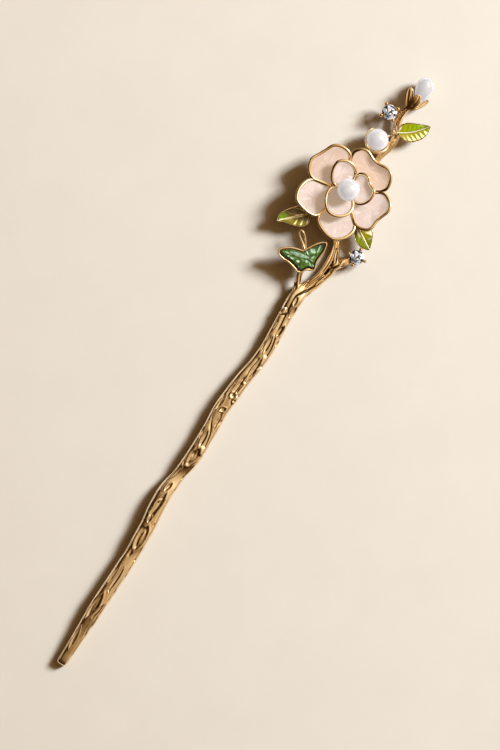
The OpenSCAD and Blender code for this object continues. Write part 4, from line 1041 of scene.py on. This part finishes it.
def leaf_look(name, fresh, deep, cream):
    """Translucent leaf enamel over a ribbed metal floor. The mask "fresh" holds where it is
    bright green instead of its deep colour, and "cream" where the pale ribs show through."""
    look = Look(name)
    cloud = look.noise(700, 3)
    fields = look.mix(look.mask("fresh"), linear(*deep), linear(*fresh))
    darker = linear(*(int(c * 0.7) for c in deep))
    shaded = look.mix(look.ramp(cloud, [(0.3, (0.0,)), (0.8, (0.5,))]), fields, darker)
    look.set(Base_Color=look.mix(look.mask("cream"), shaded, linear(*cream)), Roughness=0.28,
             Coat_Weight=0.7, Coat_Roughness=0.06, Metallic=0.15, Specular_IOR_Level=0.3)
    look.relief(cloud, 0.2, 0.0001, 0.25)
    return look.made


def jade_look():
    """Marbled green inlay: clouds of dark and mid green, darkened at the edge by painted shade. The mask
    "pale" holds its mint streaks and drops, and the second mask a band of painted shade along its lower side."""
    look = Look("jade_inlay")
    outward = look.node("SeparateXYZ", look.coords("UV")).outputs[0]
    cloud = look.noise(520, 4, 0.6, 1.2)
    ground = look.ramp(cloud, [(0.3, linear(16, 34, 3)), (0.5, linear(40, 66, 14)),
                               (0.72, linear(78, 104, 40))])
    # Painted shade: the inlay darkens towards its edge
    edge = look.ramp(outward, [(0.74, (0.0,)), (0.84, (1.0,))])
    colour = look.mix(edge, ground, linear(10, 22, 3))
    fleck = look.ramp(look.noise(1400, 3, 0.6, 0.8), [(0.35, (0.35,)), (0.65, (1.0,))])
    pale = look.node("Math", look.mask("pale"), fleck, operation="MULTIPLY").outputs[0]
    marked = look.mix(pale, colour, linear(190, 204, 168))
    look.set(Base_Color=look.mix(look.mask("painted_rim_shade"), marked, linear(6, 10, 2)), Roughness=0.25,
             Coat_Weight=0.8, Coat_Roughness=0.05, Specular_IOR_Level=0.3)
    look.relief(cloud, 0.3, 0.0002, 0.3)
    return look.made


def pearl_look(name, body, glow):
    """Pearl: a soft body colour that drifts a little, light that spreads under the skin, an even
    painted glow that lifts its shaded side, though it is no lamp, and a clear lustre."""
    look = Look(name)
    warm = tuple(c + 8 for c in body)
    drift = look.ramp(look.noise(240, 3), [(0.35, linear(*body)), (0.7, linear(*warm))])
    look.set(Base_Color=drift, Roughness=0.35, Coat_Weight=1.0, Coat_Roughness=0.2,
             Coat_IOR=2.6, Specular_IOR_Level=0.4, Subsurface_Weight=1.0,
             Subsurface_Scale=0.004, Subsurface_Radius=(1.0, 0.95, 0.9),
             Emission_Color=(1.0, 0.965, 0.95), Emission_Strength=glow)
    look.relief(look.noise(600, 2), 0.1, 0.0001, 0.62)
    return look.made


def stone_look(name, mid):
    """Brilliant-cut stone: the flashes of its back facets are painted into its colour as hard
    shards about its middle, which is given in metres: painted reflections. Each shard is a cell of a
    Voronoi pattern, has its own painted tone from black to white, and leans its own way."""
    look = Look(name)
    place = look.coords(place=tuple(-c for c in mid))
    shards = look.node("TexVoronoi", Vector=place, Scale=1500, distance="MANHATTAN")
    shard = shards.outputs["Color"]
    # Painted reflections: the tones of the facet flashes, from black to white
    tones = [(0.24, (0.02, 0.02, 0.02)), (0.4, (0.16, 0.165, 0.16)), (0.54, (0.42, 0.43, 0.42)),
             (0.72, (0.86, 0.85, 0.82))]
    look.set(Base_Color=look.ramp(look.node("SeparateColor", shard).outputs[0], tones))
    lean = look.node("VectorMath", shard, (0.5, 0.5, 0.0), (-0.25, -0.25, 0.0),
                     operation="MULTIPLY_ADD").outputs[0]
    normal = look.node("NewGeometry").outputs["Normal"]
    look.set(Normal=look.node("VectorMath", lean, normal, operation="ADD").outputs[0])
    look.set(Metallic=0.55, Roughness=0.06, Coat_Weight=1.0, Coat_Roughness=0.01, Coat_IOR=1.9)
    return look.made


gilt_bark = gilt("gilt_bark", 0.14, 1500)
gilt_polish = gilt("gilt_polish", 0.055, 2500, (1.0, 0.81, 0.54), (0.94, 0.69, 0.4))
gilt_sepal = gilt("gilt_sepal", 0.07, 2500, (1.0, 0.81, 0.54), (0.95, 0.7, 0.4), 1.0, 0.54)
# A darker, more orange copy of the polished gilt for the settings: painted shade on the prongs and their
# balls
gilt_prong_shaded = gilt("gilt_prong_shaded", 0.09, 2500, (0.84, 0.58, 0.3), (0.68, 0.43, 0.19))
# A near-black gilt for the groove skins: painted shade
groove_shade_gilt = gilt("painted_groove_shade", 0.25, 1500, (0.12, 0.075, 0.03), (0.05, 0.03, 0.012))
# A pale, half-matt gilt for the midribs, so that they show as a bright line: painted highlight
rib_highlight_gilt = gilt("rib_highlight_gilt", 0.3, 2500, (0.8, 0.76, 0.42), (0.6, 0.56, 0.24), 0.3)
peach = peach_glaze("peach_enamel", (146, 131, 119), (129, 110, 96))
peach_warm = peach_glaze("peach_enamel_warm", (137, 115, 99), (127, 102, 80))
# A darker copy of the peach enamel: painted shade for the second outer petal, which tilts away from the light
peach_shaded = peach_glaze("peach_enamel_shaded", (144, 120, 102), (134, 104, 80))
lime_half = leaf_look("leaf_lime_half", (126, 141, 1), (142, 130, 4), (232, 218, 170))
gold_half = leaf_look("leaf_gold_half", (132, 135, 0), (148, 130, 2), (232, 214, 146))
olive_half = leaf_look("leaf_olive_half", (84, 108, 0), (112, 94, 0), (222, 202, 130))
moss_half = leaf_look("leaf_moss_half", (92, 100, 0), (140, 126, 4), (222, 202, 150))
jade = jade_look()
# The last number is each pearl's painted glow, which lifts its shaded side
round_pearl = pearl_look("round_pearl", (106, 100, 96), 0.54)
drop_pearl_look = pearl_look("drop_pearl_skin", (94, 90, 89), 0.5)


# Twig: the bark stick, the branch grown together, and the small soldered parts
gilt_piece("bark_stick", [shell(bark(800, 120))], gilt_bark)

branch_tubes = [tube(rows, steps, 56, fluted) for rows, steps in (
    (RIGHT_STRAND, 240), (LEFT_STRAND, 260), (LEFT_PRONG, 60), (SIDE_TWIG, 50), (BUD_STALK, 24),
    (STONE_STALK, 24), (LEFT_LEAF_STALK, 40), (LOWER_LEAF_STALK, 40), (UPPER_LEAF_STALK, 40))]
branch_tubes.append(lathed(CENTRE_MID * [1, 1, 0], FLOWER_POST, 36))
branch = gilt_piece("branch", branch_tubes, gilt_polish)
grown = branch.modifiers.new("grown_together", "REMESH")
grown.mode = "VOXEL"
grown.voxel_size = 0.102 * MM
grown.use_smooth_shade = True
soft = branch.modifiers.new("cast_edges", "SMOOTH")
soft.factor = 0.5
soft.iterations = 2

# Dark skins in the fork's grooves: painted shade
gilt_piece("fork_groove_shade", [groove(FORK_GROOVE), groove(SIDE_GROOVE, 40)], groove_shade_gilt)

for name, leaf in (("upper_leaf", UPPER_LEAF), ("left_leaf", LEFT_LEAF), ("lower_leaf", LOWER_LEAF)):
    gilt_piece(name + "_tray", [leaf_tray(leaf)], gilt_polish)
    gilt_piece(name + "_midrib", [midrib(leaf)], rib_highlight_gilt)
gilt_piece("butterfly_bezel", [wing_bezel(), tube(FEELER, 120, 18)], gilt_polish)
gilt_piece("upper_setting", setting(UPPER_STONE, UPPER_STONE_TURN, 0.52), gilt_prong_shaded)
gilt_piece("lower_setting", setting(LOWER_STONE, LOWER_STONE_TURN, 0.44), gilt_prong_shaded)
gilt_piece("bud_holder", bud_cup(), gilt_polish)
gilt_piece("sepal_cup", [tube(LEFT_SEPAL, 70, 40, blade), tube(MIDDLE_SEPAL, 70, 56, hood),
                         tube(RIGHT_SEPAL, 70, 40, blade), ball(SEPAL_MID, SEPAL_R, 40, 60)],
           gilt_sepal)

# Flower
gilt_piece("outer_layer", [petal_tray(OUTER_LAYER, p) for p in OUTER_TABLE], gilt_polish, "outer_petals")
gilt_piece("inner_layer", [petal_tray(INNER_LAYER, p) for p in INNER_TABLE], gilt_polish, "inner_petals")
# The second outer petal takes the darker enamel copy, as painted shade
for side, layer, table, glazes in (
        ("outer", OUTER_LAYER, OUTER_TABLE, (peach_warm, peach_shaded, peach, peach, peach)),
        ("inner", INNER_LAYER, INNER_TABLE, (peach, peach, peach))):
    for letter, petal, glaze in zip("abcde", table, glazes):
        piece(side + "_glaze_" + letter, [petal_glaze(layer, petal)], glaze,
              [side + "_enamel_" + letter])


# Leaves and butterfly
def along_across(leaf, points):
    """Share along a leaf and share of the way from its midrib to its edge, for points."""
    h, long = math.radians(leaf["turn"]), leaf["rows"][-1][0]
    q = points[:, :2] - np.array(leaf["base"])
    a = np.clip(q[:, 0] * math.cos(h) + q[:, 1] * math.sin(h), 0, long)
    row = leaf_rows(leaf, a)
    off = q[:, 1] * math.cos(h) - q[:, 0] * math.sin(h) - row[:, 1]
    return a / long, np.abs(off) / np.maximum(np.where(off > 0, row[:, 2], row[:, 3]), 0.1)


def ribs(u, v, count, lean, sharp):
    """Slanting ribs from 0 to 1: a cosine wave along the leaf, leaning with the way across,
    made narrower by a power."""
    return (0.5 + 0.5 * np.cos(2 * np.pi * (count * u - lean * v))) ** sharp


# Cream marks of the leaf halves, from 0 to 1 by the share along and the share across: each is a
# product of eased steps, some with slanting ribs added to the share across
def upper_back_cream(u, v):
    """A mark near the outer edge at the leaf's base, and one near its tip."""
    base = eased((0.2 - u) / 0.1) * eased((v - 0.4) / 0.3)
    return np.maximum(base, 0.9 * eased((u - 0.66) / 0.08) * eased((v - 0.55) / 0.3))


def upper_front_cream(u, v):
    """Eight slanting fingers in from the outer edge."""
    return (eased((v + 0.75 * ribs(u, v, 8, 0.9, 1.0) - 0.85) / 0.22) * eased((0.93 - u) / 0.1)
            * (0.3 + 0.7 * eased((u - 0.1) / 0.25)))


def left_front_cream(u, v):
    """Five slanting ribs, stronger towards the outer edge."""
    return eased((ribs(u, v, 5.5, 1.2, 3) * (0.4 + v) - 0.5) / 0.35) * eased((0.66 - u) / 0.08)


def left_back_cream(u, v):
    """Three narrow slanting ribs."""
    return eased((ribs(u, v, 3.0, 1.5, 5) - 0.45) / 0.4) * eased((0.62 - u) / 0.1) * 0.8


def lower_front_cream(u, v):
    """One streak that leaves the midrib slowly."""
    return eased((0.16 - np.abs(v - 0.2 - 0.3 * u)) / 0.08) * eased((0.55 - u) / 0.1) * 0.7


def lower_back_cream(u, v):
    """Five short fingers in from the outer edge."""
    return eased((v + 0.5 * ribs(u, v, 5, 1.0, 1.0) - 0.75) / 0.3) * eased((0.75 - u) / 0.15)


# Leaf halves: name, leaf, side, material, cream, fresh from and to along the leaf
for name, leaf, side, look, cream, fresh in (
        ("upper_leaf_front", UPPER_LEAF, -1, gold_half, upper_front_cream, (0.45, 0.95)),
        ("upper_leaf_back", UPPER_LEAF, 1, lime_half, upper_back_cream, (0.1, 0.5)),
        ("left_leaf_front", LEFT_LEAF, 1, olive_half, left_front_cream, (0.66, 0.74)),
        ("left_leaf_back", LEFT_LEAF, -1, olive_half, left_back_cream, (0.64, 0.72)),
        ("lower_leaf_front", LOWER_LEAF, -1, moss_half, lower_front_cream, (-0.2, 0.1)),
        ("lower_leaf_back", LOWER_LEAF, 1, moss_half, lower_back_cream, (0.45, 0.8))):
    piece(name + "_glaze", [leaf_glaze(leaf, side)], look, [name], [
        ("cream", lambda points, leaf=leaf, cream=cream: cream(*along_across(leaf, points))),
        ("fresh", lambda points, leaf=leaf, fresh=fresh: eased((along_across(leaf, points)[0] - fresh[0])
                                                               / (fresh[1] - fresh[0])))])


def mint(points):
    """Mint marks of the inlay: each a soft line between two points, of its own half width. A
    line over 1 mm long narrows to both ends by a parabola."""
    pale = np.zeros(len(points))
    for x0, y0, x1, y1, half, strength in MINT_MARKS:
        d = np.array([x1 - x0, y1 - y0])
        q = points[:, :2] - np.array([x0, y0])
        t = np.clip((q @ d) / max(d @ d, 1e-6), 0, 1)
        wide = half * (0.5 + 2 * t * (1 - t)) if d @ d > 1 else half
        e = np.linalg.norm(q - t[:, None] * d, axis=1) / wide
        pale = np.maximum(pale, 0.85 * strength * eased((1.05 - e) / 0.5))
    return pale


def painted_rim_shade(points):
    """Painted shade of the inlay: a dark band near the outline, wider where that faces the stick's tip."""
    line, out = wing_line()
    gap = np.linalg.norm(points[:, None, :2] - line[None], axis=2)
    near = gap.argmin(1)
    reach = 0.1 + 0.55 * eased((out[near] @ np.array([-0.974, 0.225])) / 0.7)
    return eased((WING_FLOOR + reach - gap.min(1)) / 0.22)


# The inlay's dark band along its lower side is painted shade
piece("butterfly_inlay", [wing_glaze()], jade, ["butterfly_enamel"],
      [("pale", mint), ("painted_rim_shade", painted_rim_shade)])

# Pearls and stones
piece("flower_pearl", [ball(CENTRE_MID, CENTRE_R, 64, 96)], round_pearl, ["centre_pearl"])
piece("side_pearl", [ball(BUD_MID, BUD_R, 64, 96)], round_pearl, ["bud_pearl"])
piece("end_pearl", [egg()], drop_pearl_look, ["drop_pearl"])
for name, at in (("upper_stone", UPPER_STONE), ("lower_stone", LOWER_STONE)):
    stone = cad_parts[name]
    stone.data.materials.clear()
    stone.data.materials.append(stone_look(name + "_crystal", (at + PLAN_SHIFT) * MM))


# Stage
def floor_look():
    """Warm cream paper: a fine soft grain."""
    look = Look("cream_paper")
    tones = [(0.3, (0.423, 0.3475, 0.2525)), (0.7, (0.438, 0.3605, 0.2635))]
    paper = look.ramp(look.noise(60, 6, 0.6), tones)
    look.set(Base_Color=paper, Roughness=0.9, Specular_IOR_Level=0.2)
    return look.made


floor_mesh = bpy.data.meshes.new("floor")
floor_mesh.from_pydata([(x * FLOOR_HALF, y * FLOOR_HALF, 0) for x, y in ((-1, -1), (1, -1), (1, 1), (-1, 1))],
                       [], [(0, 1, 2, 3)])
floor_mesh.materials.append(floor_look())
floor = bpy.data.objects.new("floor", floor_mesh)
bpy.context.scene.collection.objects.link(floor)


def area_light(name, azimuth, elevation, size, watts, colour):
    """Oblong light that faces the object from a direction, in degrees and metres."""
    light = bpy.data.lights.new(name, "AREA")
    light.shape = "RECTANGLE"
    light.size, light.size_y = size
    light.energy = watts
    light.color = colour
    obj = bpy.data.objects.new(name, light)
    back = globe(math.radians(azimuth), math.radians(elevation))
    side = unit(np.cross(UP, back))
    rows = np.column_stack([side, np.cross(back, side), back])
    obj.matrix_world = Matrix([[*rows[k], back[k] * LIGHTS_AWAY] for k in range(3)] + [[0, 0, 0, 1]])
    bpy.context.scene.collection.objects.link(obj)
    return obj


key = area_light("key_softbox", KEY_AZIMUTH, KEY_ELEVATION, size=(0.4, 0.4), watts=66.3,
                 colour=(0.945, 1.122, 1.42))
key.visible_glossy = False
area_light("window_strip", 97, 11, size=(0.2, 0.14), watts=0.154, colour=(1.0, 0.76, 0.5))


def studio_air():
    """Room: a pale wall and ceiling on the light's side, and a dim warm room on the far side.
    The ramp runs on half of one plus the cosine from a direction above and to the right,
    and a small bright panel stands in that direction. Matt surfaces see the room dimmer and
    warmer, as if it were draped."""
    air = Look("studio_air", bpy.data.worlds, "Background")
    panel = globe(math.radians(KEY_AZIMUTH), math.radians(PANEL_ELEVATION))
    facing = air.node("VectorMath", air.node("TexCoord").outputs["Generated"], tuple(panel),
                      operation="DOT_PRODUCT").outputs["Value"]
    share = air.node("Math", facing, 0.5, 0.5, operation="MULTIPLY_ADD").outputs[0]
    walls = air.ramp(share, [(0.5 + 0.5 * math.cos(math.radians(angle)), colour)
                             for angle, colour in ROOM_TONES])
    edge, core = (math.cos(math.radians(angle)) for angle in PANEL_ANGLES)
    spot = air.node("MapRange", facing, edge, core, 0.0, PANEL_GLOW)
    bright = air.node("VectorMath", spot.outputs[0], walls, operation="ADD").outputs[0]
    matt = air.node("LightPath").outputs["Is Diffuse Ray"]
    air.set(Color=air.mix(matt, bright, (0.75, 0.6, 0.4), "MULTIPLY"), Strength=1.04)
    bpy.context.scene.world = air.made


studio_air()

camera_data = bpy.data.cameras.new("camera")
camera_data.sensor_fit = "VERTICAL"
camera_data.sensor_height = 24.0
camera_data.lens = camera_data.sensor_height * VIEW_UP / VIEW_TALL
camera_data.clip_end = 10
camera = bpy.data.objects.new("camera", camera_data)
bpy.context.scene.collection.objects.link(camera)
right = (math.cos(VIEW_TURN), -math.sin(VIEW_TURN), 0)
up = (math.sin(VIEW_TURN), math.cos(VIEW_TURN), 0)
camera.matrix_world = Matrix([[right[0], up[0], 0, VIEW_MID[0] * MM], [right[1], up[1], 0, VIEW_MID[1] * MM],
                              [0, 0, 1, VIEW_UP * MM], [0, 0, 0, 1]])
bpy.context.scene.camera = camera
bpy.context.scene.view_settings.view_transform = "Standard"
